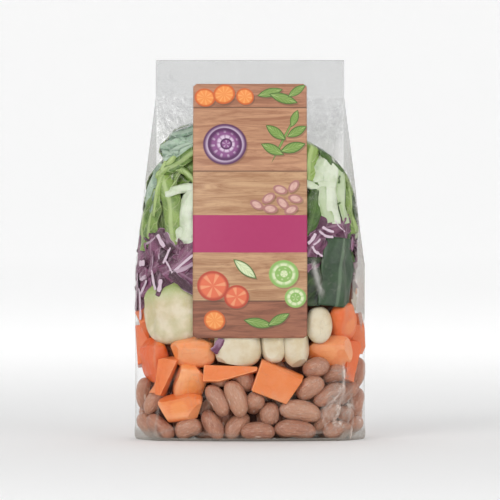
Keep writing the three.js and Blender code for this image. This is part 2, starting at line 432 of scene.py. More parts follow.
class Nodes:
    """Short ways to add nodes to one tree and to join them."""

    def __init__(self, tree):
        self.tree = tree

    def add(self, kind, inputs=(), **settings):
        node = self.tree.nodes.new(kind)
        for key, value in settings.items():
            setattr(node, key, value)
        for key, value in dict(inputs).items():
            self.feed(node.inputs[key], value)
        return node

    def out(self, kind, inputs=(), output=0, **settings):
        return Value(self, self.add(kind, inputs, **settings).outputs[output])

    def feed(self, socket, value):
        if isinstance(value, Value):
            self.tree.links.new(value.socket, socket)
        elif value is not None:
            socket.default_value = value

    def maths(self, operation, a, b=None, c=None, clamp=False):
        if isinstance(a, Value) and a.socket.type == "VECTOR":
            return self.out("ShaderNodeVectorMath", {0: a, 1: b}, operation=operation)
        inputs = enumerate(value for value in (a, b, c) if value is not None)
        return self.out("ShaderNodeMath", inputs, operation=operation, use_clamp=clamp)

    def outs(self, kind, inputs=(), **settings):
        return [Value(self, part) for part in self.add(kind, inputs, **settings).outputs]

    def split(self, vector):
        return self.outs("ShaderNodeSeparateXYZ", {0: vector})

    def join(self, x, y, z=None):
        return self.out("ShaderNodeCombineXYZ", {0: x, 1: y, 2: z})

    def noise(self, vector, scale, detail=2.0, roughness=0.5, distortion=0.0):
        return self.out("ShaderNodeTexNoise", {"Vector": vector, "Scale": scale, "Detail": detail,
                                               "Roughness": roughness, "Distortion": distortion})

    def crackle(self, vector, scale):
        """How far a place is from the borders of random cells."""
        return self.out("ShaderNodeTexVoronoi", {"Vector": vector, "Scale": scale}, "Distance",
                        feature="DISTANCE_TO_EDGE")

    def attribute(self, name, output="Fac"):
        return self.out("ShaderNodeAttribute", output=output, attribute_name=name)

    def on_points(self, name, kind="FLOAT_VECTOR"):
        return self.out("GeometryNodeInputNamedAttribute", {"Name": name}, data_type=kind)

    def layers(self, colour, *layers):
        """Lays inks over a colour, each by a value: low, high, share at low, share at high, ink."""
        for value, low, high, share_low, share_high, ink in layers:
            colour = value.ramp(low, high, share_low, share_high).mix(colour, ink)
        return colour


def new_tree(name, kind, inputs, outputs):
    """A node group with named inputs and outputs (name, kind, value), its Nodes, and what comes
    in by name."""
    group = bpy.data.node_groups.new(name, kind + "NodeTree")
    for way, sockets in (("INPUT", inputs), ("OUTPUT", outputs)):
        for label, of_kind, *value in sockets:
            socket = group.interface.new_socket(label, in_out=way, socket_type="NodeSocket" + of_kind)
            if value:
                socket.default_value = value[0]
    nodes = Nodes(group)
    source = nodes.add("NodeGroupInput")
    return group, nodes, {socket.name: Value(nodes, socket) for socket in source.outputs}


def end_tree(tree, geometry, material):
    """Ends a tree with plain geometry in its material."""
    real = tree.out("GeometryNodeRealizeInstances", {0: geometry})
    coated = tree.out("GeometryNodeSetMaterial", {0: real, "Material": material})
    tree.add("NodeGroupOutput", {0: coated})


def linear(red, green, blue):
    """A colour given as 0 to 255 screen values, as the shaders' linear light."""
    return tuple((c / 255 / 12.92) if c / 255 <= 0.04045 else ((c / 255 + 0.055) / 1.055) ** 2.4
                 for c in (red, green, blue)) + (1.0,)


def new_material(name):
    """An empty node material with its Principled shader joined to the output."""
    material = bpy.data.materials.new(name)
    material.use_nodes = True
    return material, Nodes(material.node_tree), material.node_tree.nodes["Principled BSDF"]


def finish(nodes, shader, values, *reliefs):
    """Sets the shader's inputs by name, and its reliefs (height, strength, distance in metres)."""
    for key, value in values.items():
        nodes.feed(shader.inputs[key], value)
    normal = None
    for height, strength, distance in reliefs:
        normal = nodes.out("ShaderNodeBump", {"Height": height, "Strength": strength,
                                              "Distance": distance, "Normal": normal})
    nodes.feed(shader.inputs["Normal"], normal)


def finish_food(nodes, shader, colour, roughness, soft, *reliefs, film=0.25):
    """The finish of moist food with clear film clinging to it. Soft is how light spreads in it:
    weight, radii and scale."""
    finish(nodes, shader, {
        "Base Color": colour, "Roughness": roughness, "Subsurface Weight": soft[0],
        "Subsurface Radius": soft[1], "Subsurface Scale": soft[2], "Specular IOR Level": 0.35,
        "Coat Weight": film, "Coat Roughness": 0.16, "Coat IOR": 1.5}, *reliefs)


THIN_SOFTNESS = 0.05
BEAN_SKIN, BEAN_SKIN_PALE = linear(200, 143, 114), linear(216, 168, 138)
BEAN_SKIN_DEEP, BEAN_EYE_AND_GLINT = linear(160, 100, 78), linear(232, 206, 188)
bean_skin, nodes, shader = new_material("bean_skin")
place, tone = nodes.attribute("own_place", "Vector"), nodes.attribute("tone")
cloud = nodes.noise(place + nodes.join(tone, tone, tone).scaled(9.0), 1.6, 3.0)
veins = nodes.noise(place * (1.2, 5.0, 5.0), 1.4, 4.0, 0.6, 0.4)
lines = nodes.noise(place * (1.0, 4.0, 4.0), 1.5, 5.0, 0.7, 1.2)
# Pale specks are the skin's own speckle and also painted glints of light on the skin.
specks_and_glints = nodes.noise(place, 5.0, 3.0, 0.7)
eye_spot = ((place - (0.0, -0.92, 0.0)) * (4.5, 3.0, 7.0)).length()
colour = nodes.layers(
    BEAN_SKIN_DEEP, (tone, 0, 1, 0.0, 0.75, BEAN_SKIN_PALE), (cloud, 0.35, 0.7, 0.0, 0.65, BEAN_SKIN),
    (veins, 0.55, 0.72, 0.0, 0.5, BEAN_SKIN_DEEP), (lines, 0.54, 0.62, 0.0, 0.3, BEAN_EYE_AND_GLINT),
    (specks_and_glints, 0.56, 0.7, 0.0, 0.35, BEAN_EYE_AND_GLINT), (eye_spot, 0.6, 1.0, 0.8, 0.0, BEAN_EYE_AND_GLINT))
creases = nodes.noise(place * (1.2, 3.4, 3.4), 1.4, 4.0, 0.6, 0.8)
finish_food(nodes, shader, colour, 0.36, (0.12, (0.004, 0.002, 0.001), 0.5), (creases, 0.8, 0.0016),
            film=0.4)

bean_tree, tree, given = new_tree("beans", "Geometry", [
    ("Geometry", "Geometry"), ("Bend", "Float", 0.16), ("Hollow", "Float", 0.13),
    ("Fullness", "Float", 0.82), ("Detail", "Int", 4), ("Skin", "Material")], [("Geometry", "Geometry")])
ball = tree.out("GeometryNodeMeshIcoSphere", {"Radius": 1.0, "Subdivisions": given["Detail"]})
x, y, z = tree.split(tree.out("GeometryNodeInputPosition"))
full = tree.maths("SIGN", x) * abs(x) ** given["Fullness"]
near_eye = tree.maths("MAXIMUM", 1.0 - abs(full * 1.6), 0.0) ** 1.5
hollow = near_eye * tree.maths("MAXIMUM", y * -1.0, 0.0) * given["Hollow"]
bent = tree.join(full, y - full * full * given["Bend"] + hollow, z)
bean = tree.out("GeometryNodeSetPosition", {"Geometry": ball, "Position": bent})
kept = tree.out("GeometryNodeStoreNamedAttribute", {
    "Geometry": bean, "Name": "own_place", "Value": tree.out("GeometryNodeInputPosition")},
    data_type="FLOAT_VECTOR", domain="POINT")
smooth = tree.out("GeometryNodeSetShadeSmooth", {"Geometry": kept})
copies = tree.out("GeometryNodeInstanceOnPoints", {
    "Points": given["Geometry"], "Instance": smooth, "Scale": tree.on_points("half_size"),
    "Rotation": tree.out("FunctionNodeEulerToRotation", {0: tree.on_points("turn")})})
end_tree(tree, copies, given["Skin"])


def made_by_nodes(name, points, tree, settings, attributes, edges=()):
    """Runs a node tree on a cloud of points or lines and returns the plain piece that it makes,
    pressed in where it would stick out of the film."""
    piece = link_new(name, new_mesh(name + "_points", points, edges, (), attributes))
    inputs = {item.identifier: settings[item.name] for item in tree.interface.items_tree
              if item.item_type == "SOCKET" and item.in_out == "INPUT" and item.name in settings}
    make_real(piece, "NODES", inputs, node_group=tree)
    places = np.empty(len(piece.data.vertices) * 3)
    piece.data.vertices.foreach_get("co", places)
    places = keep_inside(places.reshape(-1, 3) / MM, UNDER_SKIN) * MM
    piece.data.vertices.foreach_set("co", places.ravel())
    return piece


is_bean = np.flatnonzero(kinds == "bean")
beans = made_by_nodes(
    "beans", centres[is_bean], bean_tree, {"Skin": bean_skin, "Detail": 3},
    {"turn": [tuple(Matrix(turns[i].tolist()).to_euler()) for i in is_bean],
     "half_size": [np.array(sizes[i]) / 2 * MM for i in is_bean],
     "tone": tones[is_bean]})
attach(beans, "root")

# ---- Carrot and potato chunks -----------------------------------------------------------------
# Peeled roots cut by knife into blocks, coins and lengths: flat faces that meet at slightly blunt
# edges, and on some a round side left from the outside of the root. Each starts as a box or a
# round, is cut by planes, and has its edges eased.
ROUND_SIDES = 28
CUT_TILT = {"block": 0.1, "cut": 0.16, "log": 0.12, "coin": 0.06, "wedge": 0.05, "potato": 0.15}
EXTRA_CUTS = {"block": 2, "cut": 3, "log": 1, "coin": 1, "wedge": 0, "potato": 4, "round": 3, "oval": 1,
              "lump": 7}
EASED_EDGE = {"block": 1.5, "cut": 2.0, "log": 1.6, "coin": 1.6, "wedge": 0.9, "potato": 3.4,
              "round": 3.0, "oval": 3.0, "lump": 1.6}
SQUARENESS = {"round": 0.72, "oval": 0.95, "lump": 0.6}
SHARP_ANGLE = math.radians(24)
ROUGH_BOX, LOG_TAPER, LOG_UNDERSIDE, EDGE_STEPS = 2.6, 0.93, 0.6, 3
THICK_HALF_WIDTH, DEEPER_CUT = 15, 0.13
FACET_WAY = Vector((2.3, 3.7, 3.1))


def cut_by(solid, place, normal):
    """Cuts a closed solid by a plane, drops what is past it and closes the cut."""
    geometry = solid.verts[:] + solid.edges[:] + solid.faces[:]
    cut = bmesh.ops.bisect_plane(solid, geom=geometry, plane_co=place, plane_no=normal,
                                 clear_outer=True)["geom_cut"]
    edges = [item for item in cut if isinstance(item, bmesh.types.BMEdge)]
    if edges:
        bmesh.ops.contextual_create(solid, geom=edges)


def add_chunk(pile, kind, size, turn, centre, tone):
    """Cuts one chunk and adds it to the pile's mesh, with its values for the flesh's shader."""
    half = np.array(size) / 2
    solid = bmesh.new()
    if kind in ("log", "coin"):
        bmesh.ops.create_cone(solid, cap_ends=True, segments=ROUND_SIDES, radius1=1, radius2=LOG_TAPER,
                              depth=2)
        upright = Matrix.Identity(4) if kind == "coin" else Matrix.Rotation(math.pi / 2, 4, "Y")
        bmesh.ops.transform(solid, matrix=upright, verts=solid.verts)
    elif kind in SQUARENESS:
        bmesh.ops.create_icosphere(solid, subdivisions=4, radius=1.0)
        for vertex in solid.verts:
            own = np.array(vertex.co)
            vertex.co = np.sign(own) * np.abs(own) ** SQUARENESS[kind]
    else:
        bmesh.ops.create_cube(solid, size=ROUGH_BOX)
    bmesh.ops.transform(solid, matrix=Matrix.Diagonal((*half, 1)), verts=solid.verts)
    planes = []
    for axis in range(0 if kind in SQUARENESS else 3):
        for sign in (-1, 1):
            normal = draw.normal(0, CUT_TILT[kind], 3)
            normal[axis] = sign
            reach = LOG_UNDERSIDE if kind == "log" and axis == 2 and sign < 0 else 1.0
            planes.append((normal, np.eye(3)[axis] * sign * half * reach))
    if kind == "wedge":
        planes.append((np.array([0.36, -1.0, 0.0]), np.array([half[0], half[1] * 0.6, 0])))
    for _ in range(EXTRA_CUTS[kind]):
        normal = draw.normal(0, 1, 3)
        normal[2] *= 0.6
        normal /= np.linalg.norm(normal)
        corner = (np.abs(normal) * half).sum()
        reach = (np.linalg.norm(normal * half) + corner) / 2 if kind in SQUARENESS else corner
        reach *= draw.uniform(0.7, 0.84) + DEEPER_CUT * (half[1] > THICK_HALF_WIDTH)
        planes.append((normal, normal * reach))
    for normal, place in planes:
        cut_by(solid, Vector(place), Vector(normal).normalized())
    solid.normal_update()
    sharp = [edge for edge in solid.edges
             if len(edge.link_faces) == 2 and edge.calc_face_angle(0) > SHARP_ANGLE]
    bmesh.ops.bevel(solid, geom=sharp, offset=EASED_EDGE[kind], segments=EDGE_STEPS, profile=0.6,
                    affect="EDGES", clamp_overlap=True)
    bmesh.ops.triangulate(solid, faces=[f for f in solid.faces if len(f.verts) > 4])
    bmesh.ops.recalc_face_normals(solid, faces=solid.faces)
    middle = half * np.array([0, draw.uniform(-0.5, 0.3), draw.uniform(-0.5, 0.1)])
    seen_across = draw.uniform() < 0.5
    first = len(pile["points"])
    for vertex in solid.verts:
        own = np.array(vertex.co)
        through = (own - middle) / half.max()
        across = math.hypot(through[0], through[1]) if seen_across else math.hypot(
            through[1], through[2]) * 1.5
        pile["points"].append(turn @ own + centre)
        pile["own_place"].append(own)
        pile["from_middle"].append(across)
        pile["tone"].append(tone)
    solid.verts.index_update()
    for face in solid.faces:
        pile["faces"].append([first + v.index for v in face.verts])
        # Each face's facet value comes from its turn in the chunk's own frame; the carrots' shader paints
        # faces paler or deeper by it as painted light and shade.
        pile["facet"].append(0.5 + 0.5 * math.sin(FACET_WAY.dot(face.normal) + tone * 30))
    solid.free()


def chunk_piece(name, members, material):
    """All the chunks of one kind of root as one mesh, its broad faces shaded flat."""
    pile = {"points": [], "faces": [], "facet": [], "own_place": [], "from_middle": [], "tone": []}
    for i in members:
        add_chunk(pile, kinds[i], sizes[i], turns[i], centres[i], tones[i])
    faces, facets = pile.pop("faces"), pile.pop("facet")
    points = keep_inside(np.array(pile.pop("points")), UNDER_SKIN)
    piece = new_piece(name, points, faces, material, attributes=pile)
    piece.data.attributes.new("facet", "FLOAT", "FACE").data.foreach_set("value", facets)
    make_real(piece, "WEIGHTED_NORMAL", keep_sharp=True)
    return piece


CARROT_FLESH, CARROT_DEEP_AND_SHADE = linear(244, 158, 92), linear(224, 94, 32)
CARROT_CORE, CARROT_DRY_AND_LIT = linear(247, 162, 84), linear(248, 186, 144)
carrot_flesh, nodes, shader = new_material("carrot_flesh")
place, tone = nodes.attribute("own_place", "Vector"), nodes.attribute("tone")
ring, facet = nodes.attribute("from_middle"), nodes.attribute("facet")
mottle = nodes.noise(place, 0.06, 3.0, 0.5)
fibres = nodes.noise(place * (0.15, 1.1, 1.1), 0.9, 3.0, 0.55, 0.3)
colour = nodes.layers(tone.mix(CARROT_DEEP_AND_SHADE, CARROT_FLESH),
                      (ring, 0.3, 0.5, 0.35, 0.0, CARROT_CORE))
rim = nodes.maths("SUBTRACT", 1.0, abs((ring - 0.45) * 14.0), clamp=True)
colour = (rim * 0.14).mix(colour, CARROT_DEEP_AND_SHADE)
# Faces with a high facet value are painted paler and those with a low one deeper: painted light and shade
# on the cut faces. The pale spots from the mottle below are drier flesh.
lit_facet = facet.ramp(0.55, 1.0, 0.0, 0.4) * tone.ramp(0.0, 0.6, 0.3, 1.0)
colour = nodes.layers(lit_facet.mix(colour, CARROT_DRY_AND_LIT), (facet, 0.0, 0.4, 0.3, 0.0, CARROT_DEEP_AND_SHADE))
dry_spot = mottle.ramp(0.4, 0.8, 0.0, 0.45) * tone.ramp(0.0, 0.6, 0.4, 1.0)
colour = nodes.layers(dry_spot.mix(colour, CARROT_DRY_AND_LIT), (fibres, 0.5, 0.8, 0.0, 0.3, CARROT_DEEP_AND_SHADE))
knife = nodes.noise(place * (0.3, 1.6, 0.6), 0.8, 4.0, 0.6)
dents = nodes.noise(place, 0.16, 3.0, 0.5)
finish_food(nodes, shader, colour, mottle.ramp(0.3, 0.7, 0.3, 0.55), (0.15, (0.006, 0.0025, 0.001), 0.6),
            (dents, 0.6, 0.002), (knife, 0.35, 0.0005), film=0.3)
is_carrot = np.flatnonzero(np.isin(kinds, ["cut", "block", "wedge", "log", "coin", "lump"]))
carrots = chunk_piece("carrot_chunks", is_carrot, carrot_flesh)
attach(carrots, "root")

POTATO_FLESH, POTATO_WARM = linear(224, 213, 188), linear(211, 192, 156)
POTATO_EDGE, POTATO_DULL = linear(230, 218, 200), linear(190, 182, 132)
POTATO_GREEN = linear(150, 172, 90)
potato_flesh, nodes, shader = new_material("potato_flesh")
place, tone = nodes.attribute("own_place", "Vector"), nodes.attribute("tone")
mottle, grain = nodes.noise(place, 0.08, 4.0, 0.6), nodes.noise(place, 1.1, 3.0, 0.6)
green_end = nodes.split(place)[0].ramp(3.0, 15.0) * tone.ramp(0.7, 0.9, 0.0, 0.85)
dull = nodes.noise(place, 0.12, 3.0).ramp(0.36, 0.62) * tone.ramp(0.7, 0.9, 0.0, 0.55)
colour = dull.mix(mottle.ramp(0.35, 0.7).mix(POTATO_FLESH, POTATO_WARM), POTATO_DULL)
colour = nodes.layers(green_end.mix(colour, POTATO_GREEN), (grain, 0.55, 0.8, 0.0, 0.5, POTATO_EDGE))
finish_food(nodes, shader, colour, mottle.ramp(0.3, 0.7, 0.35, 0.55), (0.2, (0.005, 0.004, 0.002), 0.6),
            (grain, 0.25, 0.0005))
is_potato = np.flatnonzero(np.isin(kinds, ["potato", "round", "oval"]))
potatoes = chunk_piece("potato_chunks", is_potato, potato_flesh)
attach(potatoes, "root")

# ---- The middle of the fill -------------------------------------------------------------------
# The food is packed right through the bag. Between the pieces at the film the eye meets only the
# middle of it, a closed sheet in darkened food colours that stands for the food inside and is painted
# shade: brown among the beans, then orange, purple and green towards the top.
HEART_DEPTH, HEART_LOW, HEART_TOP, HEART_ROWS, HEART_COLUMNS = 15.0, 2.5, 160.0, 40, 120
heart_painted_shade, nodes, shader = new_material("inner_fill_painted_shade")
place = nodes.attribute("own_place", "Vector")
lumps = nodes.noise(place, 0.12, 3.0)
height = nodes.split(place)[2] + lumps * 16.0
# Darkened food colours by height, with lumps: painted shade in the gaps between pieces.
colour = linear(84, 50, 40)
for level, tint in ((46, (130, 78, 48)), (88, (62, 36, 50)), (124, (60, 76, 44))):
    colour = height.ramp(level + 2, level + 14).mix(colour, linear(*tint))
finish(nodes, shader, {"Base Color": colour, "Roughness": 0.8}, (lumps, 0.8, 0.003))


def grid_faces(rows, columns, closed=True):
    """Quads between the points of a grid, row by row upwards. A closed one runs on round from the
    last column to the first, and has a face over each end."""
    across = columns if closed else columns - 1
    faces = [(j * columns + i, j * columns + (i + 1) % columns, (j + 1) * columns + (i + 1) % columns,
              (j + 1) * columns + i) for j in range(rows - 1) for i in range(across)]
    if closed:
        faces.append(tuple(range(columns))[::-1])
        faces.append(tuple((rows - 1) * columns + i for i in range(columns)))
    return faces


heights = np.linspace(HEART_LOW, HEART_TOP, HEART_ROWS)[:, None]
arounds = np.arange(HEART_COLUMNS)[None] / HEART_COLUMNS * ROUND_THE_BAG
at_side = smoothstep(PANEL_HALF_WIDTH - 4, PANEL_HALF_WIDTH + 9,
                     np.abs(film_point(arounds, heights)[..., 0]))
deep = HEART_DEPTH - 8.0 * at_side + draw.uniform(-1.5, 1.5, (HEART_ROWS, HEART_COLUMNS))
points = keep_inside(under_film(arounds, heights, deep), 4.0).reshape(-1, 3)
heart = new_piece("inner_fill_painted_shade", points, grid_faces(HEART_ROWS, HEART_COLUMNS), heart_painted_shade,
                  attributes={"own_place": points})
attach(heart, "root")

# ---- Red cabbage ------------------------------------------------------------------------------
# Red cabbage is shredded into limp strips, purple on the broad sides and pale on the cut edges.
# They lie tangled in a band across the bag. Each runs along a line of points; the tree lays the
# lines' profile along them.
SHRED_POINTS, SHRED_THICKNESS = 20, 0.24
SHRED_PURPLE, SHRED_DARK = linear(112, 58, 88), linear(62, 26, 44)
SHRED_LILAC, SHRED_RIM_AND_GLINT = linear(164, 124, 150), linear(214, 192, 206)
shred_skin, nodes, shader = new_material("red_cabbage")
tone = nodes.attribute("tone")
across = nodes.split(nodes.attribute("on_profile", "Vector"))[0]
along = nodes.join(nodes.attribute("run"), across, tone)
streaks = nodes.noise(along * (0.12, 2.2, 9.0), 1.0, 4.0, 0.6, 0.3)
patches = nodes.noise(along * (0.07, 0.5, 23.0), 1.0, 2.0)
# Strips of tone near 1 are drawn wholly in the pale rim colour: partly pale cut edges and ribs, partly
# painted glints of light on the film over the cabbage.
colour = nodes.layers(
    SHRED_DARK, (tone, 0.1, 0.7, 0.0, 1.0, SHRED_PURPLE), (patches, 0.5, 0.64, 0.0, 0.8, SHRED_LILAC),
    (streaks, 0.52, 0.76, 0.0, 0.4, SHRED_LILAC), (tone, 0.86, 0.94, 0.0, 1.0, SHRED_RIM_AND_GLINT))
edge = abs(across).ramp(0.93, 0.98) * patches.ramp(0.45, 0.6, 0.1, 0.8)
finish_food(nodes, shader, edge.mix(colour, SHRED_RIM_AND_GLINT), streaks.ramp(0.3, 0.7, 0.28, 0.45),
            (0.1, (0.002, 0.001, 0.002), THIN_SOFTNESS), (streaks, 0.5, 0.0005))

strip_tree, tree, given = new_tree("strips", "Geometry", [
    ("Geometry", "Geometry"), ("Thickness", "Float", SHRED_THICKNESS), ("Sides", "Int", 12),
    ("Sharp Above", "Float", 0.6), ("Skin", "Material")], [("Geometry", "Geometry")])
line = tree.out("GeometryNodeMeshToCurve", {0: given["Geometry"]})
faced = tree.out("GeometryNodeSetCurveNormal", {"Curve": line, "Normal": tree.on_points("face_way")},
                 mode="FREE")
circle = tree.out("GeometryNodeCurvePrimitiveCircle", {"Resolution": given["Sides"]})
spot = tree.split(tree.out("GeometryNodeInputPosition"))
flat = [tree.maths("SIGN", way) * abs(way) ** 0.45 for way in spot[:2]]
kept = tree.out("GeometryNodeStoreNamedAttribute", {
    "Geometry": circle, "Name": "on_profile", "Value": tree.join(*flat)},
    data_type="FLOAT_VECTOR", domain="POINT")
thin = tree.join(flat[0], flat[1] * given["Thickness"])
profile = tree.out("GeometryNodeSetPosition", {"Geometry": kept, "Position": thin})
swept = tree.out("GeometryNodeCurveToMesh", {
    "Curve": faced, "Profile Curve": profile, "Scale": tree.on_points("half_width", "FLOAT"),
    "Fill Caps": True})
sharp = tree.maths("GREATER_THAN", tree.out("GeometryNodeInputMeshEdgeAngle"), given["Sharp Above"])
smooth = tree.out("GeometryNodeSetShadeSmooth", {"Geometry": swept}, domain="FACE")
edged = tree.out("GeometryNodeSetShadeSmooth", {"Geometry": smooth, "Selection": sharp,
                                                "Shade Smooth": False}, domain="EDGE")
end_tree(tree, edged, given["Skin"])


def strip_lines(strips):
    """Points, edges and attributes for strips given as (around, height, length, half width,
    degrees, bend, depth, wave, lean, twist, tone)."""
    lines = {"points": [], "face_way": [], "half_width": [], "run": [], "tone": []}
    for around, height, length, half, degrees, bend, depth, wave, lean, twist, tone in strips:
        t = np.linspace(-0.5, 0.5, SHRED_POINTS)
        way = math.radians(degrees) + bend * t
        right = np.cumsum(np.cos(way)) * length / SHRED_POINTS
        rise = np.cumsum(np.sin(way)) * length / SHRED_POINTS
        depths = np.maximum(depth + wave * np.sin(t * 7 + degrees), half * 0.3)
        points = under_film(around + right - right.mean(), height + rise - rise.mean(), depths)
        points = keep_inside(points, 0.5 + 0.25 * depth)
        run = np.gradient(points, axis=0)
        run /= np.linalg.norm(run, axis=1, keepdims=True)
        out = -inward(points)
        out -= run * (out * run).sum(1, keepdims=True)
        out /= np.linalg.norm(out, axis=1, keepdims=True)
        turn = (math.radians(lean) + twist * t)[:, None]
        lines["face_way"].append(np.cross(run, out) * np.cos(turn) + out * np.sin(turn))
        lines["points"].append(points)
        ends = np.clip((0.5 - np.abs(t)) * 12 + 0.7, 0, 1)
        lines["half_width"].append(half * ends * MM * (1 + 0.12 * np.sin(t * 11 + height)))
        lines["run"].append(t * length + height)
        lines["tone"].append(np.full(SHRED_POINTS, tone))
    edges = [(k * SHRED_POINTS + i, k * SHRED_POINTS + i + 1)
             for k in range(len(strips)) for i in range(SHRED_POINTS - 1)]
    values = {key: np.concatenate(value) for key, value in lines.items()}
    return values.pop("points"), edges, values


# The front strips of tone near 1 are pale all over: partly pale cut edges, partly painted glints of light
# on the film over the cabbage.
FRONT_SHREDS = [
    (-49.8, 110.4, 11, 0.8, 66, 0.2, 0.4, 0.1, 10, 0.2, 0.97),
    (-40.6, 105.0, 19, 0.75, 41, -0.1, 0.2, 0.05, 0, 0.2, 0.98),
    (-48.6, 104.0, 9, 0.6, -62, -0.3, 0.2, 0.05, 0, 0.2, 0.96),
    (-39.5, 102.6, 14, 1.2, 24, 0.3, 0.5, 0.05, 0, 0.2, 0.9),
    (-58.7, 95.7, 13, 0.9, -76, 0.3, 0.4, 0.1, 10, 0.2, 0.96),
    (-54.0, 92.4, 8, 1.2, 80, 0.5, 0.4, 0.1, -10, 0.2, 0.95),
    (-70.5, 105.4, 7, 1.7, 4, 0.1, 0.4, 0.1, 0, 0.1, 0.93),
    (-40.5, 94.2, 21, 2.6, -38, 0.2, 0.8, 0.2, 5, 0.2, 0.0),
    (-53.5, 119.0, 9, 1.2, -60, 0.4, 0.4, 0.1, 10, 0.3, 0.94),
    (-49.0, 118.5, 12, 2.6, -60, 0.3, 0.8, 0.2, 0, 0.2, 0.15),
    (-73.0, 81.0, 20, 1.5, 97, 0.3, 0.4, 0.2, 10, 0.3, 0.93),
    (-79.0, 88.0, 24, 2.2, 80, 0.3, 0.5, 0.2, 10, 0.3, 0.89),
    (-68.5, 91.0, 12, 1.2, 48, 0.6, 0.5, 0.2, 10, 0.3, 0.92),
    (-69.0, 97.0, 8, 1.6, 10, 0.6, 0.5, 0.2, 10, 0.3, 0.91),
    (-60.0, 107.0, 13, 0.7, 84, 0.9, 0.5, 0.2, 20, 0.5, 0.88),
    (-66.0, 113.0, 12, 1.0, -50, 0.6, 0.5, 0.2, 20, 0.4, 0.85),
    (-64.0, 99.0, 12, 1.4, 30, 0.6, 0.6, 0.2, 20, 0.4, 0.8),
    (-62.0, 119.0, 12, 0.8, 24, 0.6, 0.5, 0.2, 20, 0.4, 0.9),
    (-19, 57, 10, 2.4, 58, 0.4, 1.2, 0.3, 0, 0.4, 0.6),
    (46.6, 125.6, 8, 0.8, -24, 0.5, 0.4, 0.1, 10, 0.3, 0.98),
    (44.0, 123.0, 7, 0.7, -34, 0.5, 0.4, 0.1, 10, 0.3, 0.97),
    (47.0, 121.6, 6, 0.8, -10, 0.5, 0.4, 0.1, 10, 0.3, 0.96),
    (37.0, 120.2, 8, 1.0, 52, 0.6, 0.4, 0.1, -10, 0.3, 0.96),
    (40.0, 118.2, 6, 0.6, 40, 0.6, 0.4, 0.1, -10, 0.3, 0.97),
    (38.6, 113.4, 6, 0.7, -56, 0.6, 0.4, 0.1, 10, 0.3, 0.95),
    (41.5, 111.2, 5, 0.6, -40, 0.6, 0.4, 0.1, 10, 0.3, 0.93),
    (54.0, 127.5, 10, 0.5, -48, 0.7, 0.4, 0.1, 20, 0.3, 0.94),
    (57.0, 124.0, 9, 0.6, -66, 0.6, 0.5, 0.1, 20, 0.3, 0.88),
]
# The loose shreds, by layer: depth and count. Their limits: length, half width, degrees, bend,
# depth past the layer's, wave, lean, twist and tone. The outermost layer starts past the front.
SHRED_LAYERS = ((2.0, 64), (6.5, 60), (12.0, 50))
SHRED_LIMITS = ((16, 1.2, -80, -1.2, -1.5, 0.5, -50, -1.2, 0),
                (36, 3.6, 80, 1.2, 1.5, 3, 50, 1.2, 0.92))
SHRED_BAND, BAND_SLOPE, SHREDS_SET_TO, FLATTER_AT_SIDE = 111, 0.13, 76, 0.4
shreds = list(FRONT_SHREDS)
for layer, count in SHRED_LAYERS:
    for i in range(count):
        around = (i + draw.uniform(0, 1)) / count * ROUND_THE_BAG
        sideways = film_point(around, SHRED_BAND - 1.0)[0]
        height = SHRED_BAND + BAND_SLOPE * sideways + draw.uniform(-13, 12)
        if layer == SHRED_LAYERS[0][0] and min(around, ROUND_THE_BAG - around) < SHREDS_SET_TO:
            continue
        length, half, degrees, bend, deeper, *others = draw.uniform(*SHRED_LIMITS)
        degrees *= FLATTER_AT_SIDE if abs(sideways) > PANEL_HALF_WIDTH else 1
        shreds.append((around, height, length, half, degrees, bend, layer + deeper, *others))
points, edges, values = strip_lines(shreds)
cabbage = made_by_nodes("red_cabbage_shreds", points, strip_tree,
                        {"Skin": shred_skin, "Thickness": SHRED_THICKNESS}, values, edges)
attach(cabbage, "root")

# ---- Leaves -----------------------------------------------------------------------------------
# Cut greens fill the top: a curled bright green leaf with pale ribs, bluish and yellow-green
# leaves, thick whitish cabbage, and one broad, smooth, dark leaf at the right. Each is a sheet
# that curls about its length, with wavy edges, pressed flat where it meets the film.
LEAF_ROWS, LEAF_COLUMNS = 34, 23
LEAF_SHAPES = {
    "oval": (0.4, 0.85, 1.0, 1.0, 0.92, 0.7, 0.35), "torn": (0.6, 0.9, 1.0, 0.88, 1.0, 0.9, 0.55),
    "strip": (0.9, 1.0, 1.0, 0.95, 1.0, 0.95, 0.9), "sheet": (1.0, 1.0, 1.0, 1.0, 1.0, 1.0, 0.97),
    "fan": (0.25, 0.45, 0.7, 0.9, 1.0, 0.95, 0.7)}


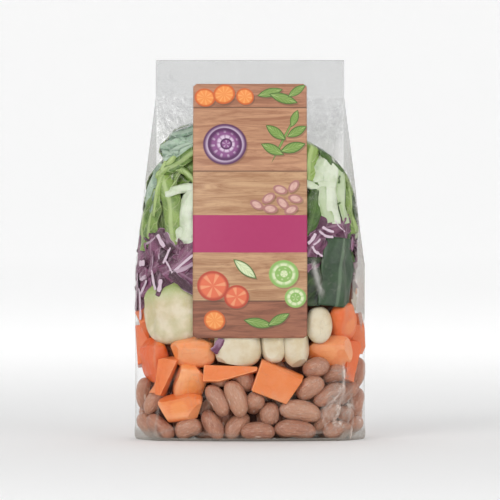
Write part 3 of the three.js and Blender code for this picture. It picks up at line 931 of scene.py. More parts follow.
def leaf_sheet(thickness, around, height, length, width, degrees, depth, curl, wave, waves, shape, tone):
    """One leaf's grid of points and its values for the shader. A positive curl turns the edges
    away from the film, and a negative one turns them towards it."""
    u, v = np.meshgrid(np.linspace(0, 1, LEAF_ROWS), np.linspace(-1, 1, LEAF_COLUMNS), indexing="ij")
    widths = np.array(LEAF_SHAPES[shape])
    spot = np.clip(u * (len(widths) - 1), 0, len(widths) - 1.001)
    part = smoothstep(0, 1, spot % 1)
    half = width / 2 * (widths[spot.astype(int)] * (1 - part) + widths[spot.astype(int) + 1] * part)
    half *= 1 + 0.04 * np.sin(u * 17 + tone * 9) * np.abs(v)
    open_angle = math.radians(max(abs(curl), 3))
    across = half / open_angle * np.sin(v * open_angle)
    sunk = half / open_angle * (1 - np.cos(v * open_angle)) * np.sign(curl)
    phase = tone * 20
    ripple = wave * np.abs(v) ** 1.6 * np.sin(u * waves * 2 * math.pi + phase + v)
    along = (u - 0.5) * length + 0.25 * ripple
    bow = 0.06 * length * np.sin(u * math.pi + phase) * (shape != "sheet")
    way = math.radians(degrees)
    right = around + math.cos(way) * along - math.sin(way) * (across + bow)
    rise = height + math.sin(way) * along + math.cos(way) * (across + bow)
    depths = depth + sunk + ripple + 0.8 * np.sin(u * 9 + v * 3 + phase)
    points = under_film(right, np.clip(rise, 3, 200), np.maximum(depths, 0.4))
    points = keep_inside(points, 0.35 + 0.3 * depth + thickness / 2)
    return points.reshape(-1, 3), np.stack([u * length, v * half, v], -1).reshape(-1, 3)


def leaf_piece(name, sheets, material, thickness):
    """Several leaves as one mesh, each a closed sheet of the given thickness in millimetres."""
    points, on_leaf, tones, faces = [], [], [], []
    for sheet in sheets:
        first = LEAF_ROWS * LEAF_COLUMNS * len(points)
        sheet_points, sheet_places = leaf_sheet(thickness, *sheet)
        points.append(sheet_points)
        on_leaf.append(sheet_places)
        tones.append(np.full(LEAF_ROWS * LEAF_COLUMNS, sheet[-1]))
        faces += [(first + a, first + d, first + c, first + b)
                  for a, b, c, d in grid_faces(LEAF_ROWS, LEAF_COLUMNS, closed=False)]
    piece = new_piece(name, np.concatenate(points), faces, material, attributes={
        "on_leaf": np.concatenate(on_leaf), "tone": np.concatenate(tones)})
    make_real(piece, "SOLIDIFY", thickness=thickness * MM, offset=0.0)
    return piece


# A leaf's colour, roughness and veins from its place on the leaf: a pale middle rib, side ribs
# that leave it at a slant, fine net veins and soft blotches.
leaf_look, nodes, given = new_tree("leaf_look", "Shader", [
    ("Deep", "Color"), ("Light", "Color"), ("Rib", "Color"), ("Rib Width", "Float"),
    ("Rib Share", "Float"), ("Side Ribs", "Float"), ("Cut Edge", "Float")],
    [("Color", "Color"), ("Roughness", "Float"), ("Height", "Float")])
on_leaf = nodes.attribute("on_leaf", "Vector")
along, across, share_across = nodes.split(on_leaf)
side = abs(across)
wander = nodes.noise(on_leaf, 0.12, 2.0) * 5.0
middle_rib = (side / given["Rib Width"]).ramp(0.5, 1.3, 1.0, 0.0)
stripe = abs(nodes.maths("FRACT", (along - side * 0.9 + wander) * 0.115) - 0.5)
side_rib = stripe.ramp(0.03, 0.09, 0.75, 0.0) * given["Side Ribs"]
net = nodes.crackle(on_leaf, 0.42).ramp(0.02, 0.12, 0.12, 0.0)
rib = nodes.maths("MAXIMUM", nodes.maths("MAXIMUM", middle_rib, side_rib), net) * given["Rib Share"]
blotch = nodes.noise(on_leaf, 0.09, 4.0, 0.6)
shade = nodes.maths("ADD", nodes.attribute("tone") * 0.7, blotch.ramp(0.32, 0.68, -0.15, 0.5), clamp=True)
colour = rib.mix(shade.mix(given["Deep"], given["Light"]), given["Rib"])
colour = (abs(share_across).ramp(0.88, 0.95) * given["Cut Edge"]).mix(colour, given["Rib"])
nodes.add("NodeGroupOutput", {"Color": colour, "Roughness": blotch.ramp(0.3, 0.7, 0.34, 0.5),
                              "Height": rib + nodes.noise(on_leaf, 0.7, 3.0) * 0.4})


def leaf_material(name, deep, light, rib, rib_width, rib_share, cut_edge, relief, side_ribs=1.0):
    """A leaf's finish: its colours as screen values and its ribs' width and strength."""
    material, nodes, shader = new_material(name)
    colour, rough, height = nodes.outs("ShaderNodeGroup", {
        "Deep": linear(*deep), "Light": linear(*light), "Rib": linear(*rib), "Rib Width": rib_width,
        "Rib Share": rib_share, "Side Ribs": side_ribs, "Cut Edge": cut_edge}, node_tree=leaf_look)
    finish_food(nodes, shader, colour, rough, (0.1, (0.001, 0.002, 0.0006), THIN_SOFTNESS),
                (height, relief, 0.001))
    return material


LEAF_KINDS = {
    "red_cabbage_leaves": dict(
        finish=((58, 20, 40), (132, 76, 108), (206, 170, 192), 0.8, 0.25, 0.5, 0.9), thickness=0.9,
        slot="red_cabbage", heights=(100, 122), depths=(3.5, 9), count=28, front=[
            (-40.5, 109.5, 32, 14, 40, 0.7, 40, 0.4, 1.0, "strip", 0.8),
            (-38, 99, 22, 15, -28, 1.5, 30, 0.8, 1.5, "torn", 0.45),
            (-53, 98, 24, 18, 66, 1.8, 40, 1.2, 2.0, "oval", 0.0),
            (-62, 111, 24, 14, 80, 1.2, 40, 1.2, 2.0, "torn", 0.55),
            (-69, 94, 18, 13, 70, 1.1, 40, 1.0, 2.0, "oval", 0.8),
            (-80, 90, 26, 12, 96, 2.2, 40, 0.8, 2.0, "torn", 0.75),
            (-52, 118, 24, 13, -24, 1.7, 40, 1.2, 2.0, "torn", 0.3),
            (-56, 104, 46, 34, 0, 3.6, 20, 1.6, 2.0, "torn", 0.0),
            (-74, 104, 34, 22, 90, 2.6, 30, 1.4, 2.0, "torn", 0.35),
            (-82, 112, 34, 24, 84, 1.6, 30, 1.2, 2.0, "torn", 0.5),
            (-88, 94, 34, 24, 96, 1.8, 30, 1.2, 2.0, "torn", 0.3),
            (50, 126, 30, 17, 10, 1.3, 35, 1.2, 2.0, "torn", 0.3),
            (60, 124, 22, 12, 76, 1.5, 30, 1.0, 2.0, "oval", 0.35),
            (37, 113, 24, 13, 60, 0.9, 35, 1.0, 2.0, "torn", 0.3),
            (43, 112, 30, 20, 40, 3.0, 30, 1.0, 2.0, "torn", 0.2),
            (-20, 108, 40, 30, 10, 4.0, 30, 1.5, 2.0, "torn", 0.4),
            (15, 112, 40, 30, 0, 4.0, 30, 1.5, 2.0, "torn", 0.4)]),
    "curled_green_leaves": dict(
        finish=((64, 98, 26), (142, 168, 86), (188, 206, 142), 1.6, 0.55, 0.3, 0.9), thickness=0.6,
        slot="green_leaf", heights=(130, 176), depths=(0.8, 6), count=22, front=[
            (-40, 150, 60, 40, 80, 8.0, 40, 2.2, 2.0, "oval", 0.1),
            (-40, 165, 46, 24, 34, 7.5, -72, 0.8, 1.5, "oval", 0.2),
            (-48, 158, 30, 13, 70, 4.6, -80, 0.4, 1.0, "oval", 0.0),
            (-50, 137, 42, 19, 104, 0.6, 70, 0.5, 1.0, "oval", 0.75),
            (-55.5, 150, 34, 6, 82, 0.5, 60, 0.4, 1.0, "oval", 1.0),
            (-52, 163, 18, 6, 52, 0.5, 60, 0.4, 1.0, "oval", 0.75),
            (-39, 169, 32, 8, 24, 0.6, 50, 0.5, 1.0, "strip", -0.1),
            (-38, 158, 20, 5, -40, 0.8, 60, 0.3, 1.0, "strip", 0.6),
            (-46, 154, 18, 1.8, 70, 2.6, 40, 0.2, 1.0, "strip", 0.7),
            (-63, 132, 36, 16, 84, 1.2, 30, 1.0, 2.0, "torn", 0.35),
            (-75, 129, 32, 20, 88, 0.8, 30, 0.6, 1.5, "torn", 0.3),
            (70, 141, 36, 14, 97, 1.0, 30, 0.5, 1.5, "strip", 0.9),
            (37, 168, 26, 17, 78, 0.8, 45, 1.2, 2.0, "oval", 1.25),
            (-20, 168, 50, 36, 60, 4.0, 30, 3.0, 3.0, "oval", 0.6),
            (18, 166, 50, 36, 115, 4.0, 30, 3.0, 3.0, "torn", 0.4)]),
    "bluish_leaves": dict(
        finish=((100, 126, 106), (176, 198, 176), (202, 216, 198), 1.2, 0.4, 0.2, 0.8), thickness=0.5,
        slot="green_leaf", heights=(140, 178), depths=(0.8, 6), count=14, front=[
            (-34, 175, 44, 18, 16, 1.6, 40, 2.4, 3.0, "torn", 0.9),
            (-36, 185.5, 26, 6, 6, 0.8, 50, 1.0, 2.0, "torn", -0.1),
            (-50, 172, 14, 5, 4, 0.8, 50, 1.0, 2.0, "torn", 0.1),
            (-42, 174, 20, 3, 24, 0.6, 50, 0.8, 2.0, "strip", 0.3),
            (-61, 142, 14, 7, 80, 1.0, 30, 0.8, 2.0, "torn", 0.1),
            (-69, 154, 34, 20, 74, 1.2, 30, 0.8, 1.5, "torn", 0.7),
            (-47, 177, 17, 9, 12, 1.6, 30, 0.8, 2.0, "torn", 0.35),
            (0, 180, 60, 20, 5, 3.0, 30, 3.0, 3.0, "torn", 0.4)]),
    "cabbage_leaves": dict(
        finish=((160, 180, 130), (214, 221, 200), (224, 230, 210), 2.6, 0.3, 0.25, 0.7), thickness=1.1,
        slot="green_leaf", heights=(128, 165), depths=(0.8, 6), count=16, front=[
            (50, 149, 40, 18, 92, 0.8, 45, 0.9, 2.0, "torn", 0.95),
            (45, 163, 22, 12, 46, 1.1, 45, 0.9, 2.0, "oval", 0.55),
            (42, 153, 19, 6, -6, 0.4, 60, 0.4, 1.0, "strip", 0.5),
            (58.5, 146, 34, 7, 98, 0.8, 40, 0.5, 1.5, "strip", -0.3),
            (45.5, 140.5, 22, 8, 100, 0.5, 60, 0.4, 1.0, "strip", -0.35),
            (-40, 149, 22, 6.0, 6, 0.4, 60, 0.3, 1.0, "strip", 0.6),
            (-37, 134, 30, 17, 74, 0.6, 50, 0.4, 1.0, "oval", 0.85),
            (-37, 121, 20, 12, 0, 1.2, 40, 0.6, 1.0, "oval", 1.0),
            (-30, 150, 40, 30, 60, 6.0, 30, 2.0, 2.0, "torn", 0.6),
            (28, 150, 40, 30, 100, 6.0, 30, 2.0, 2.0, "torn", 0.6)]),
    "dark_leaves": dict(
        finish=((14, 27, 11), (72, 104, 38), (118, 144, 86), 1.0, 0.25, 0.1, 0.8), thickness=0.6,
        slot="green_leaf", heights=(126, 165), depths=(0.8, 6), count=14, front=[
            (37, 138, 32, 16, 84, 0.8, 40, 1.2, 2.0, "oval", 0.75),
            (46, 171.5, 13, 7, -44, 0.4, 40, 0.6, 2.0, "oval", 0.7),
            (52.5, 164.5, 15, 6.5, -44, 0.4, 40, 0.6, 2.0, "oval", 0.9),
            (54, 155.5, 4.5, 0.9, 80, 0.3, 40, 0.2, 1.0, "oval", 0.6),
            (53.7, 141.2, 1.8, 0.9, 30, 0.3, 40, 0.2, 1.0, "oval", 0.6),
            (-40, 157, 38, 30, 80, 6.5, 30, 1.5, 2.0, "oval", 0.45),
            (60, 150, 40, 17, 96, 2.6, 30, 0.8, 2.0, "oval", 0.4),
            (66, 120, 28, 15, 90, 2.6, 30, 0.8, 2.0, "torn", 0.3),
            (31, 95, 29, 24, 88, 1.0, 15, 0.3, 1.0, "sheet", -0.2)]),
}
LEAVES_SET_TO, BEHIND_FRONT = 78.0, 5.0
LOOSE_SHAPES = ("oval", "torn", "fan")
# The limits of a loose leaf: length, width, degrees, curl, wave and waves.
LEAF_LIMITS = ((28, 50), (16, 30), (20, 160), (-60, 70), (1, 3), (1.5, 3.5))
for kind, of_kind in LEAF_KINDS.items():
    sheets = list(of_kind["front"])
    for i in range(of_kind["count"]):
        around = PANEL_HALF_WIDTH + (i + draw.uniform(0, 1)) / of_kind["count"] * (
            ROUND_THE_BAG - 2 * PANEL_HALF_WIDTH)
        behind_front = BEHIND_FRONT * (min(around, ROUND_THE_BAG - around) < LEAVES_SET_TO)
        height, length, width, degrees = draw.uniform(*zip(of_kind["heights"], *LEAF_LIMITS[:3]))
        depth, curl, wave, waves = draw.uniform(*zip(of_kind["depths"], *LEAF_LIMITS[3:]))
        sheets.append((around, height, length, width, degrees, depth + behind_front, curl, wave,
                       waves, LOOSE_SHAPES[i % 3], draw.uniform(0, 1)))
    material = leaf_material(kind.replace("leaves", "leaf"), *of_kind["finish"])
    of_kind["piece"] = leaf_piece(kind, sheets, material, of_kind["thickness"])
    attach(of_kind["piece"], "root")

# The broad leaf's pale middle rib runs where a bright streak of light lies down the leaf: partly its rib,
# partly painted highlight.
BROAD_LEAF = [(54.3, 100.2, 41, 23.5, 83, 0.6, 20, 0.2, 1.0, "sheet", 0.45)]
broad_leaf_skin = leaf_material("broad_leaf", (30, 51, 32), (58, 84, 54), (114, 136, 108), 1.1, 0.5, 0.3,
                                0.2, side_ribs=0.06)
broad_leaf = leaf_piece("broad_dark_leaf", BROAD_LEAF, broad_leaf_skin, 0.9)
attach(broad_leaf, "root")

food = [beans, carrots, potatoes, heart, cabbage, broad_leaf] + [k["piece"] for k in LEAF_KINDS.values()]
for piece in food:
    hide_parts("bag")

# ---- Film -------------------------------------------------------------------------------------
# Thin clear film lies over the food like a skin, sinks a little into the gaps, and stands free
# and hazy in the header and the corners. It is one closed surface of fine quads, let in from the
# bag's full form until it rests on the food.
FILM_COLUMNS, FILM_ROWS = ((336, 228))
FILM_PULL, FILM_DEEPEST, FILM_ROUNDS = 0.014, 3.6, 260
FILM_OFF_FOOD, NO_FOOD, FREE_GAP, GUSSET_GAP, FOLD_RISE = 0.25, 40.0, 12.0, 5.0, 0.5
CORNER_FOLDS, SPREAD_FOLDS = 22, 60
LABEL_HALF_WIDTH, LABEL_LOW, LABEL_HIGH = 34.0, 61.5, 212.7
# Creases in the film, raised by their strength and whitened by it in the shader as a painted
# highlight: place round the bag, height, length, half width, degrees, bend, strength.
FOLDS = [
    (56.2, 36, 26, 0.9, 91, 0.0, 0.9), (53, 30, 12, 0.8, 40, 0.01, 0.5),
    (0, 205.5, 118, 0.9, 0, 0.0, 0.3), (39.8, 97, 28, 1.7, 105, 0.004, 0.8),
    (-9, 214, 14, 1.6, 90, 0.0, 0.35), (57, 96, 60, 1.1, 92, 0.001, 0.2),
    (-57, 60, 40, 1.0, 88, 0.001, 0.2), (-56, 12, 22, 0.9, 84, 0.005, 0.5),
    (-50, 6, 16, 0.8, 20, 0.01, 0.4), (52, 172, 30, 1.2, 70, 0.003, 0.15),
    (-54, 186, 28, 1.2, 104, 0.003, 0.15), (40, 5, 26, 0.9, 6, 0.004, 0.4),
    (-20, 4, 40, 0.9, -3, 0.002, 0.35)]

corners, polygons = [], []
for piece in food:
    first = len(corners)
    corners += [tuple(v.co) for v in piece.data.vertices]
    polygons += [[first + i for i in face.vertices] for face in piece.data.polygons]
contents = BVHTree.FromPolygons(corners, polygons)

heights = np.linspace(0, BAG_HEIGHT, FILM_ROWS)[:, None] * np.ones((1, FILM_COLUMNS))
arounds = np.ones((FILM_ROWS, 1)) * np.arange(FILM_COLUMNS)[None] / FILM_COLUMNS * ROUND_THE_BAG
form = film_point(arounds, heights)
ways = inward(form)
room = np.full(form.shape[:2], NO_FOOD)
for j in range(FILM_ROWS):
    if heights[j, 0] > HEADER_BOTTOM - 2:
        continue
    for i in range(FILM_COLUMNS):
        start = Vector(((form[j, i] - ways[j, i] * 2) * MM).tolist())
        hit = contents.ray_cast(start, Vector(ways[j, i].tolist()), (NO_FOOD + 2) * MM)
        if hit[0] is not None:
            room[j, i] = hit[3] / MM - 2
beside_label = np.mod(arounds + 100, ROUND_THE_BAG) - 100
under_label = smoothstep(LABEL_HALF_WIDTH + 4, LABEL_HALF_WIDTH, np.abs(beside_label))
under_label = under_label * smoothstep(LABEL_LOW - 4, LABEL_LOW, heights)
on_side = smoothstep(PANEL_HALF_WIDTH - 8, PANEL_HALF_WIDTH, np.abs(form[..., 0]))
deepest = FILM_DEEPEST * (1 - 0.8 * on_side) * (1 - under_label) * smoothstep(0, 12, heights)
deepest = deepest * (1 - 0.9 * smoothstep(125, 165, heights)) + 0.12 * under_label
deepest *= smoothstep(HEADER_BOTTOM, HEADER_BOTTOM - 10, heights)
free = np.minimum(room - FILM_OFF_FOOD, deepest)
sunk = np.zeros(form.shape[:2])
for _ in range(FILM_ROUNDS):
    above, below = np.roll(sunk, -1, 0), np.roll(sunk, 1, 0)
    above[-1], below[0] = sunk[-1], sunk[0]
    level = (above + below + np.roll(sunk, 1, 1) + np.roll(sunk, -1, 1)) / 4
    sunk = np.minimum(level + FILM_PULL, free)
gap = np.linalg.norm(form - keep_inside(form, 0.0), axis=-1)
gap = np.maximum(gap, FREE_GAP * (room > NO_FOOD - 1))
past_crease = smoothstep(PANEL_HALF_WIDTH + 1, PANEL_HALF_WIDTH + 5, np.abs(form[..., 0]))
not_near = past_crease * smoothstep(4.0, 7.0, room) * smoothstep(62, 70, heights)
gap = np.maximum(gap, GUSSET_GAP * not_near)
for _ in range(2):
    gap = (gap + np.roll(gap, 1, 0) + np.roll(gap, -1, 0) + np.roll(gap, 1, 1)
           + np.roll(gap, -1, 1)) / 5
folds = list(FOLDS)
for _ in range(CORNER_FOLDS):
    folds.append((*draw.uniform((44, 3, 7, 0.6), (64, 27, 18, 1.1)), draw.normal(75, 35),
                  *draw.uniform((-0.02, 0.25), (0.02, 0.8))))
for k in range(SPREAD_FOLDS):
    folds.append((k / SPREAD_FOLDS * ROUND_THE_BAG, *draw.uniform((8, 8, 0.7), (200, 22, 1.2)),
                  draw.normal(80, 40), *draw.uniform((-0.02, 0.05), (0.02, 0.22))))
fold = np.zeros(form.shape[:2])
for around, height, length, half, degrees, bend, strength in folds:
    aside = np.mod(arounds - around + ROUND_THE_BAG / 2, ROUND_THE_BAG) - ROUND_THE_BAG / 2
    up = heights - height
    cos, sin = math.cos(math.radians(degrees)), math.sin(math.radians(degrees))
    along = aside * cos + up * sin
    off = up * cos - aside * sin + bend * along**2
    ridge = np.exp(-(off / half) ** 2) * smoothstep(1.0, 0.5, 2 * np.abs(along) / length)
    fold = np.maximum(fold, ridge * strength)
fold *= 1 - under_label
points = form + ways * (sunk - FOLD_RISE * fold)[..., None]

film_skin, nodes, shader = new_material("clear_film")
on_film, fold_glint = nodes.attribute("on_film", "Vector"), nodes.attribute("fold")
wide, deep, high = nodes.split(on_film)
grazing = nodes.out("ShaderNodeLayerWeight", {"Blend": 0.25}, "Facing")
in_gusset = abs(wide).ramp(50, 56) * abs(deep).ramp(10, 20, 1.0, 0.0)
in_gusset = in_gusset * high.ramp(175, 198, 1.0, 0.0) * grazing.ramp(0.1, 0.25, 1.0, 0.0)
haze = nodes.attribute("gap").ramp(0.0, 3.0) * high.ramp(120, 205, 0.52, 0.42)
haze = haze * in_gusset.ramp(0.0, 1.0, 1.0, 0.5)
mist = nodes.noise(on_film, 0.03, 3.0)
# Along the creases the film is made whiter and more opaque: painted highlights on the folds.
haze = haze + fold_glint * 0.55 + mist.ramp(0.45, 0.8, 0.0, 0.04)
# Thin crinkle lines raise the haze: painted highlights on crinkles, strong near the lower right crease
# and faint and sparse elsewhere.
warped = on_film + nodes.noise(on_film, 0.12, 3.0).scaled(14.0)
glint_lines = nodes.crackle(warped * (0.16, 0.16, 0.09), 1.0).ramp(0.0, 0.06, 1.0, 0.0)
near_crease = ((on_film - (56.0, -26.0, 26.0)) * (0.08, 0.06, 0.04)).length()
near_crease = near_crease.ramp(0.4, 1.0, 1.0, 0.0)
crease_glints = near_crease * nodes.noise(on_film, 0.2, 2.0).ramp(0.35, 0.6, 0.3, 1.0)
haze = haze + crease_glints * nodes.maths("MULTIPLY_ADD", glint_lines, 0.5, 0.2)
haze = haze + glint_lines * nodes.noise(on_film, 0.045, 2.0).ramp(0.52, 0.62) * 0.12
haze = nodes.maths("ADD", haze, grazing.ramp(0.25, 0.95, 0.0, 0.6), clamp=True)
tint = high.ramp(110, 205).mix(linear(186, 180, 170), linear(199, 200, 200))
# The creases' painted highlight colour: warm low down over the food, near white higher up.
glint = high.ramp(40, 90).mix(linear(236, 214, 202), linear(222, 220, 216))
crinkle = nodes.noise(on_film * (0.5, 0.5, 0.22), 0.5, 4.0, 0.55, 0.8)
fine = nodes.noise(on_film * (1.0, 1.0, 0.35), 1.3, 2.0, 0.5)
finish(nodes, shader, {"Base Color": fold_glint.mix(tint, glint), "Alpha": haze, "Metallic": 0.4,
                       "Roughness": mist.ramp(0.3, 0.7, 0.14, 0.26)},
       (crinkle, 0.42, 0.0025), (fine, 0.12, 0.0006))
measures = {"on_film": form.reshape(-1, 3), "gap": gap.ravel(), "fold": fold.ravel()}
film = new_piece("clear_film", points.reshape(-1, 3), grid_faces(FILM_ROWS, FILM_COLUMNS),
                 film_skin, attributes=measures)
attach(film, "root")
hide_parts("bag")

# ---- Label ------------------------------------------------------------------------------------
# A tall paper label is stuck on the front: printed planks of pale and darker wood with one plain
# bright band across it, and cut vegetables drawn as simple round and leaf-like shapes.
LABEL_PROUD, LABEL_THICKNESS, LABEL_CORNER = 0.35, 0.2, 2.0
LABEL_COLUMNS, LABEL_ROWS = 46, 100

# One printed mark, round or, at Point 1, pointed like a leaf: how far out a place is from its
# middle, 1 at its edge, and its rays or the ribs of its leaf.
printed_mark, nodes, given = new_tree("printed_mark", "Shader", [
    ("Place", "Vector"), ("Middle", "Vector"), ("Half Size", "Vector"), ("Turn", "Float"),
    ("Point", "Float"), ("Rays", "Float")],
    [("Inside", "Float"), ("Outward", "Float"), ("Veins", "Float")])
turned = nodes.out("ShaderNodeVectorRotate", {
    "Vector": given["Place"], "Center": given["Middle"], "Angle": given["Turn"]},
    rotation_type="Z_AXIS")
apart = (turned - given["Middle"]) / given["Half Size"]
x, y, _ = nodes.split(apart)
beside, as_round = abs(y), apart.length()
as_leaf = nodes.maths("MULTIPLY_ADD", x, x, beside)
outward = nodes.maths("MULTIPLY_ADD", given["Point"], as_leaf - as_round, as_round)
rays = nodes.maths("SINE", nodes.maths("ARCTAN2", y, x) * given["Rays"]).ramp(0.2, 0.9)
slant = nodes.maths("FRACT", nodes.maths("MULTIPLY_ADD", beside, -0.7, x) * 3.1)
ribs = nodes.maths("MAXIMUM", abs(slant - 0.5).ramp(0.05, 0.16, 0.6, 0.0),
                   beside.ramp(0.04, 0.1, 1.0, 0.0))
nodes.add("NodeGroupOutput", {
    "Inside": outward.ramp(0.96, 1.04, 1.0, 0.0), "Outward": outward,
    "Veins": nodes.maths("MULTIPLY_ADD", given["Point"], ribs - rays, rays)})

# Each plank's top and its light and dark wood.
PLANKS = ((22.0, (166, 108, 82), (120, 73, 55)), (99.0, (200, 160, 122), (162, 116, 82)),
          (137.0, (198, 150, 116), (160, 110, 82)), (160.0, (190, 136, 106), (148, 100, 76)))
PLANK_GAP, WOOD_PORES, BAND_INK, SHADOW_INK = (linear(*ink) for ink in (
    (84, 56, 44), (128, 86, 62), (172, 44, 98), (80, 52, 42)))
BAND_LOW, BAND_HIGH = 50.7, 72.9
LEAF_INK, LEAF_RIM = (120, 152, 74), (78, 110, 50)
PALE_INK, PALE_RIM = (216, 226, 184), (142, 182, 98)
PLUM_INK, PLUM_RIM, PLUM_PALE = (138, 82, 134), (88, 42, 88), (214, 192, 214)
# A mark's inside, its rim, and its rays or ribs.
INKS = {
    "orange": ((238, 146, 76), (208, 98, 46), (246, 182, 110)),
    "red": ((224, 112, 78), (184, 70, 50), (240, 176, 130)),
    "pink": ((214, 172, 160), (170, 116, 112), (196, 146, 138)),
    "plum": (PLUM_INK, PLUM_RIM, PLUM_PALE), "plum edge": (PLUM_PALE, PLUM_RIM, PLUM_PALE),
    "plum ring": (PLUM_PALE, PLUM_INK, PLUM_INK), "pale": (PALE_INK, PALE_RIM, (160, 196, 116)),
    "pale ring": (PALE_RIM, PALE_RIM, PALE_INK), "leaf": (LEAF_INK, LEAF_RIM, (190, 208, 140)),
    "pale leaf": (PALE_INK, LEAF_RIM, LEAF_INK)}
# Middle, half size, turn, where the rim starts, rays, inks.
MARKS = [
    (-27, 143, 6.2, 5.4, 0.2, 0.84, 9, "orange"), (-3, 143.6, 5.4, 4.9, 0.4, 0.84, 8, "orange"),
    (-15.5, 145, 6.6, 5.8, -0.3, 0.84, 10, "orange"), (12, 146, 8.0, 2.7, -0.25, 0.8, 1, "leaf"),
    (20, 142.5, 9.0, 3.0, 0.3, 0.8, 1, "leaf"), (28, 147, 6.5, 2.4, -0.6, 0.8, 1, "leaf"),
    (-15, 115, 13.0, 12.2, 0.0, 0.88, 1, "plum edge"), (-15, 115, 10.4, 9.8, 0.3, 0.8, 11, "plum"),
    (-14.4, 115.4, 6.8, 6.4, 0.6, 0.8, 9, "plum ring"), (-14.2, 115.2, 3.6, 3.4, 0.0, 0.7, 5, "plum"),
    (20, 118, 16.0, 0.8, -1.1, 0.7, 1, "leaf"), (13.4, 112, 7.6, 3.0, -2.7, 0.8, 1, "leaf"),
    (25.6, 113, 8.0, 3.2, -0.3, 0.8, 1, "leaf"), (15.4, 122, 7.4, 3.0, -2.5, 0.8, 1, "leaf"),
    (28.0, 122.6, 6.8, 2.8, -0.5, 0.8, 1, "leaf"), (26.6, 130.4, 5.6, 2.4, -1.2, 0.8, 1, "leaf"),
    (4, 79, 4.3, 2.5, 0.5, 0.7, 2, "pink"), (11, 83, 4.4, 2.6, -0.6, 0.7, 2, "pink"),
    (18, 88, 4.4, 2.6, 0.3, 0.7, 2, "pink"), (26, 90, 4.3, 2.5, -0.9, 0.7, 2, "pink"),
    (12, 76.6, 4.4, 2.6, 0.1, 0.7, 2, "pink"), (19.4, 80, 4.5, 2.6, 0.8, 0.7, 2, "pink"),
    (27, 82.6, 4.4, 2.5, 0.2, 0.7, 2, "pink"), (24.4, 76, 4.3, 2.5, -0.4, 0.7, 2, "pink"),
    (20, 38, 8.8, 8.2, 0.0, 0.8, 7, "pale"), (20, 38, 5.2, 4.8, 0.0, 0.8, 6, "pale ring"),
    (20.2, 38.1, 3.2, 3.0, 0.0, 0.7, 5, "pale"), (27, 24, 6.4, 6.0, 0.0, 0.8, 8, "pale"),
    (27, 24, 3.2, 3.0, 0.0, 0.7, 5, "pale ring"), (-3, 41, 9.0, 3.2, 0.7, 0.8, 1, "pale leaf"),
    (-22, 31, 9.4, 8.8, 0.1, 0.84, 6, "red"), (-8, 24.5, 7.4, 6.9, -0.2, 0.84, 5, "red"),
    (-21, 10.5, 6.4, 5.9, 0.3, 0.84, 9, "orange"), (5, 9, 9.0, 3.0, 0.2, 0.8, 1, "leaf"),
    (17, 11, 7.5, 2.8, -0.5, 0.8, 1, "leaf")]
SHADOW_OFF, SHADOW_SHARE, LEAST_WITH_SHADOW, NESTED_WITHIN = Vector((0.7, -0.9, 0)), 0.4, 2.4, 1.5


def label_ink(name, low, high):
    """The print of one part of the label, with the marks whose middles lie between two heights."""
    material, nodes, shader = new_material(name)
    place = nodes.attribute("on_label", "Vector")
    v = nodes.split(place)[1]
    grain = nodes.noise(place * (0.03, 0.3, 1.0), 1.0, 6.0, 0.68, 0.9).ramp(0.34, 0.68)
    pores = nodes.noise(place * (0.16, 1.5, 1.0), 1.0, 4.0, 0.7, 0.3)
    planks = [grain.mix(linear(*light), linear(*dark)) for _, light, dark in PLANKS]
    colour = planks[0]
    for (top, _, _), plank in zip(PLANKS, planks[1:]):
        colour = nodes.maths("GREATER_THAN", v, top).mix(colour, plank)
        colour = abs(v - top).ramp(0.15, 0.55, 0.75, 0.0).mix(colour, PLANK_GAP)
    colour = nodes.layers(colour, (pores, 0.54, 0.74, 0.0, 0.4, WOOD_PORES))
    done = []
    for x, y, *half, turn, rim_from, rays, inks in MARKS:
        if not low <= y < high:
            continue
        spot = Vector((x, y, 0))
        shape = {"Place": place, "Half Size": (*half, 1000), "Turn": turn, "Rays": rays,
                 "Point": float(inks.endswith("leaf"))}
        nested = any((spot - other).length < NESTED_WITHIN for other in done)
        done.append(spot)
        if half[1] > LEAST_WITH_SHADOW and not nested:
            shadow = nodes.out("ShaderNodeGroup", {"Middle": spot + SHADOW_OFF, **shape}, "Inside",
                               node_tree=printed_mark)
            colour = (shadow * SHADOW_SHARE).mix(colour, SHADOW_INK)
        inside, outward, veins = nodes.outs("ShaderNodeGroup", {"Middle": spot, **shape},
                                            node_tree=printed_mark)
        inner, rim, vein = (linear(*ink) for ink in INKS[inks])
        filled = (veins * outward.ramp(0.1, 0.3, 0.2, 0.55)).mix(inner, vein)
        filled = outward.ramp(rim_from - 0.12, rim_from + 0.08).mix(filled, rim)
        colour = inside.mix(colour, filled)
    on_band = nodes.maths("GREATER_THAN", v, BAND_LOW) * nodes.maths("LESS_THAN", v, BAND_HIGH)
    ink = nodes.noise(place, 0.3, 3.0)
    finish(nodes, shader, {"Base Color": on_band.mix(colour, BAND_INK),
                           "Roughness": ink.ramp(0.3, 0.7, 0.38, 0.5)}, (ink, 0.15, 0.0004))
    return material


bare_paper, nodes, shader = new_material("label_paper")
fibre = nodes.noise(nodes.attribute("on_label", "Vector"), 1.4, 4.0, 0.7)
finish(nodes, shader, {"Base Color": fibre.mix(linear(214, 210, 202), linear(228, 225, 219)),
                       "Roughness": fibre.ramp(0.3, 0.7, 0.7, 0.85)})

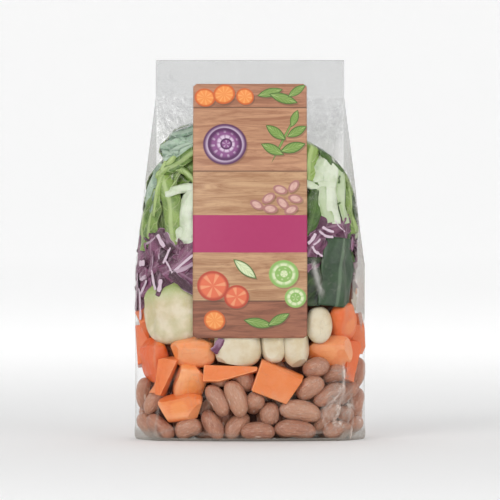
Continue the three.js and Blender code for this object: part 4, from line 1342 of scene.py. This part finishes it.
u, t = np.meshgrid(np.linspace(-1, 1, LABEL_COLUMNS), np.linspace(0, 1, LABEL_ROWS))
heights = LABEL_LOW + t * (LABEL_HIGH - LABEL_LOW)
from_end = np.minimum(heights - LABEL_LOW, LABEL_HIGH - heights)
cut_in = LABEL_CORNER - np.sqrt(np.clip(LABEL_CORNER**2 - np.clip(
    LABEL_CORNER - from_end, 0, None) ** 2, 0, None))
across = u * (LABEL_HALF_WIDTH - cut_in)
points = film_point(across, heights)
points[..., 1] -= LABEL_PROUD
on_label = np.stack([across, heights - LABEL_LOW, np.zeros_like(across)], -1).reshape(-1, 3)
PARTS = {"low": 0.0, "middle": 60.0, "high": 99.5, "top": 136.5}
LABEL_TOP = 152.0
starts = list(PARTS.values())
prints = [label_ink("label_print_" + part, low, high)
          for part, low, high in zip(PARTS, starts, starts[1:] + [LABEL_TOP])]
sheet = grid_faces(LABEL_ROWS, LABEL_COLUMNS, False)
front_label = new_piece("front_label", points.reshape(-1, 3), sheet, *prints, bare_paper,
                        attributes={"on_label": on_label})
for face in front_label.data.polygons:
    face.material_index = int(np.searchsorted(starts, face.center.z / MM - LABEL_LOW)) - 1
make_real(front_label, "SOLIDIFY", thickness=LABEL_THICKNESS * MM, offset=0.0,
          material_offset=len(prints))
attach(front_label, "root")
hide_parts("label")

# ---- Stage, light and camera ------------------------------------------------------------------
FLOOR_RADIUS, SWEEP_RADIUS, SWEEP_HEIGHT, SWEEP_SIDES, SWEEP_STEPS = 5.0, 2.0, 5.5, 96, 12
UNDER_BASE = 0.0001
floor_material, nodes, shader = new_material("pale_floor")
# The floor and sweep glow, faintly near the bag and more further out: painted light that keeps the
# backdrop white.
glow = nodes.out("ShaderNodeTexCoord", output="Object").length().ramp(0.1, 1.6, 0.04, 0.36)
glow = nodes.out("ShaderNodeCombineColor", {0: glow, 1: glow, 2: glow})
finish(nodes, shader, {"Base Color": (0.8, 0.8, 0.8, 1), "Roughness": 0.9, "Emission Color": glow,
                       "Emission Strength": 1.0})
profile = [(0.02, 0.0), (0.6, 0.0), (2.0, 0.0), (FLOOR_RADIUS, 0.0)]
for i in range(1, SWEEP_STEPS + 1):
    turn = i / SWEEP_STEPS * math.pi / 2
    profile.append((FLOOR_RADIUS + SWEEP_RADIUS * math.sin(turn),
                    SWEEP_RADIUS * (1 - math.cos(turn))))
profile.append((FLOOR_RADIUS + SWEEP_RADIUS, SWEEP_HEIGHT))
sweep_points = [(r * math.sin(k / SWEEP_SIDES * math.tau) / MM,
                 r * math.cos(k / SWEEP_SIDES * math.tau) / MM, (z - UNDER_BASE) / MM)
                for r, z in profile for k in range(SWEEP_SIDES)]
sweep = new_piece("backdrop", sweep_points, grid_faces(len(profile), SWEEP_SIDES)[:-1], floor_material)

world = bpy.data.worlds.new("studio")
bpy.context.scene.world = world
world.use_nodes = True
world.node_tree.nodes["Background"].inputs["Color"].default_value = (1.0, 1.0, 1.0, 1)
world.node_tree.nodes["Background"].inputs["Strength"].default_value = 0.40
LAMPS = {"key": ((-1.3, -1.9, 1.5), 1.2, 17), "fill": ((1.7, -1.7, 0.9), 1.4, 9),
         "top": ((0.0, 0.6, 2.2), 1.6, 11)}
LIT_SPOT = Vector((0, 0, 0.1))
for name, (place, size, power) in LAMPS.items():
    light = bpy.data.lights.new(name, "AREA")
    light.size, light.energy = size, power
    lamp = link_new(name, light)
    lamp.location = place
    lamp.rotation_euler = (LIT_SPOT - Vector(place)).to_track_quat("-Z", "Y").to_euler()

MM_PER_PIXEL, IMAGE_SIZE, BASE_ROW = 0.6, 500, 438.5
VIEW_DISTANCE, VIEW_ELEVATION, SENSOR, FAR_END = 3000.0, 1.2, 36.0, 20.0
aim_height = (BASE_ROW - IMAGE_SIZE / 2) * MM_PER_PIXEL
camera_data = bpy.data.cameras.new("camera")
camera_data.sensor_width = SENSOR
camera_data.lens = SENSOR * VIEW_DISTANCE / (MM_PER_PIXEL * IMAGE_SIZE)
camera_data.clip_end = FAR_END
camera = link_new("camera", camera_data)
rise = math.radians(VIEW_ELEVATION)
camera.location = (0, -VIEW_DISTANCE * MM * math.cos(rise),
                   aim_height * MM + VIEW_DISTANCE * MM * math.sin(rise))
camera.rotation_euler = (math.radians(90) - rise, 0, 0)
bpy.context.scene.camera = camera
bpy.context.scene.view_settings.view_transform = "Standard"
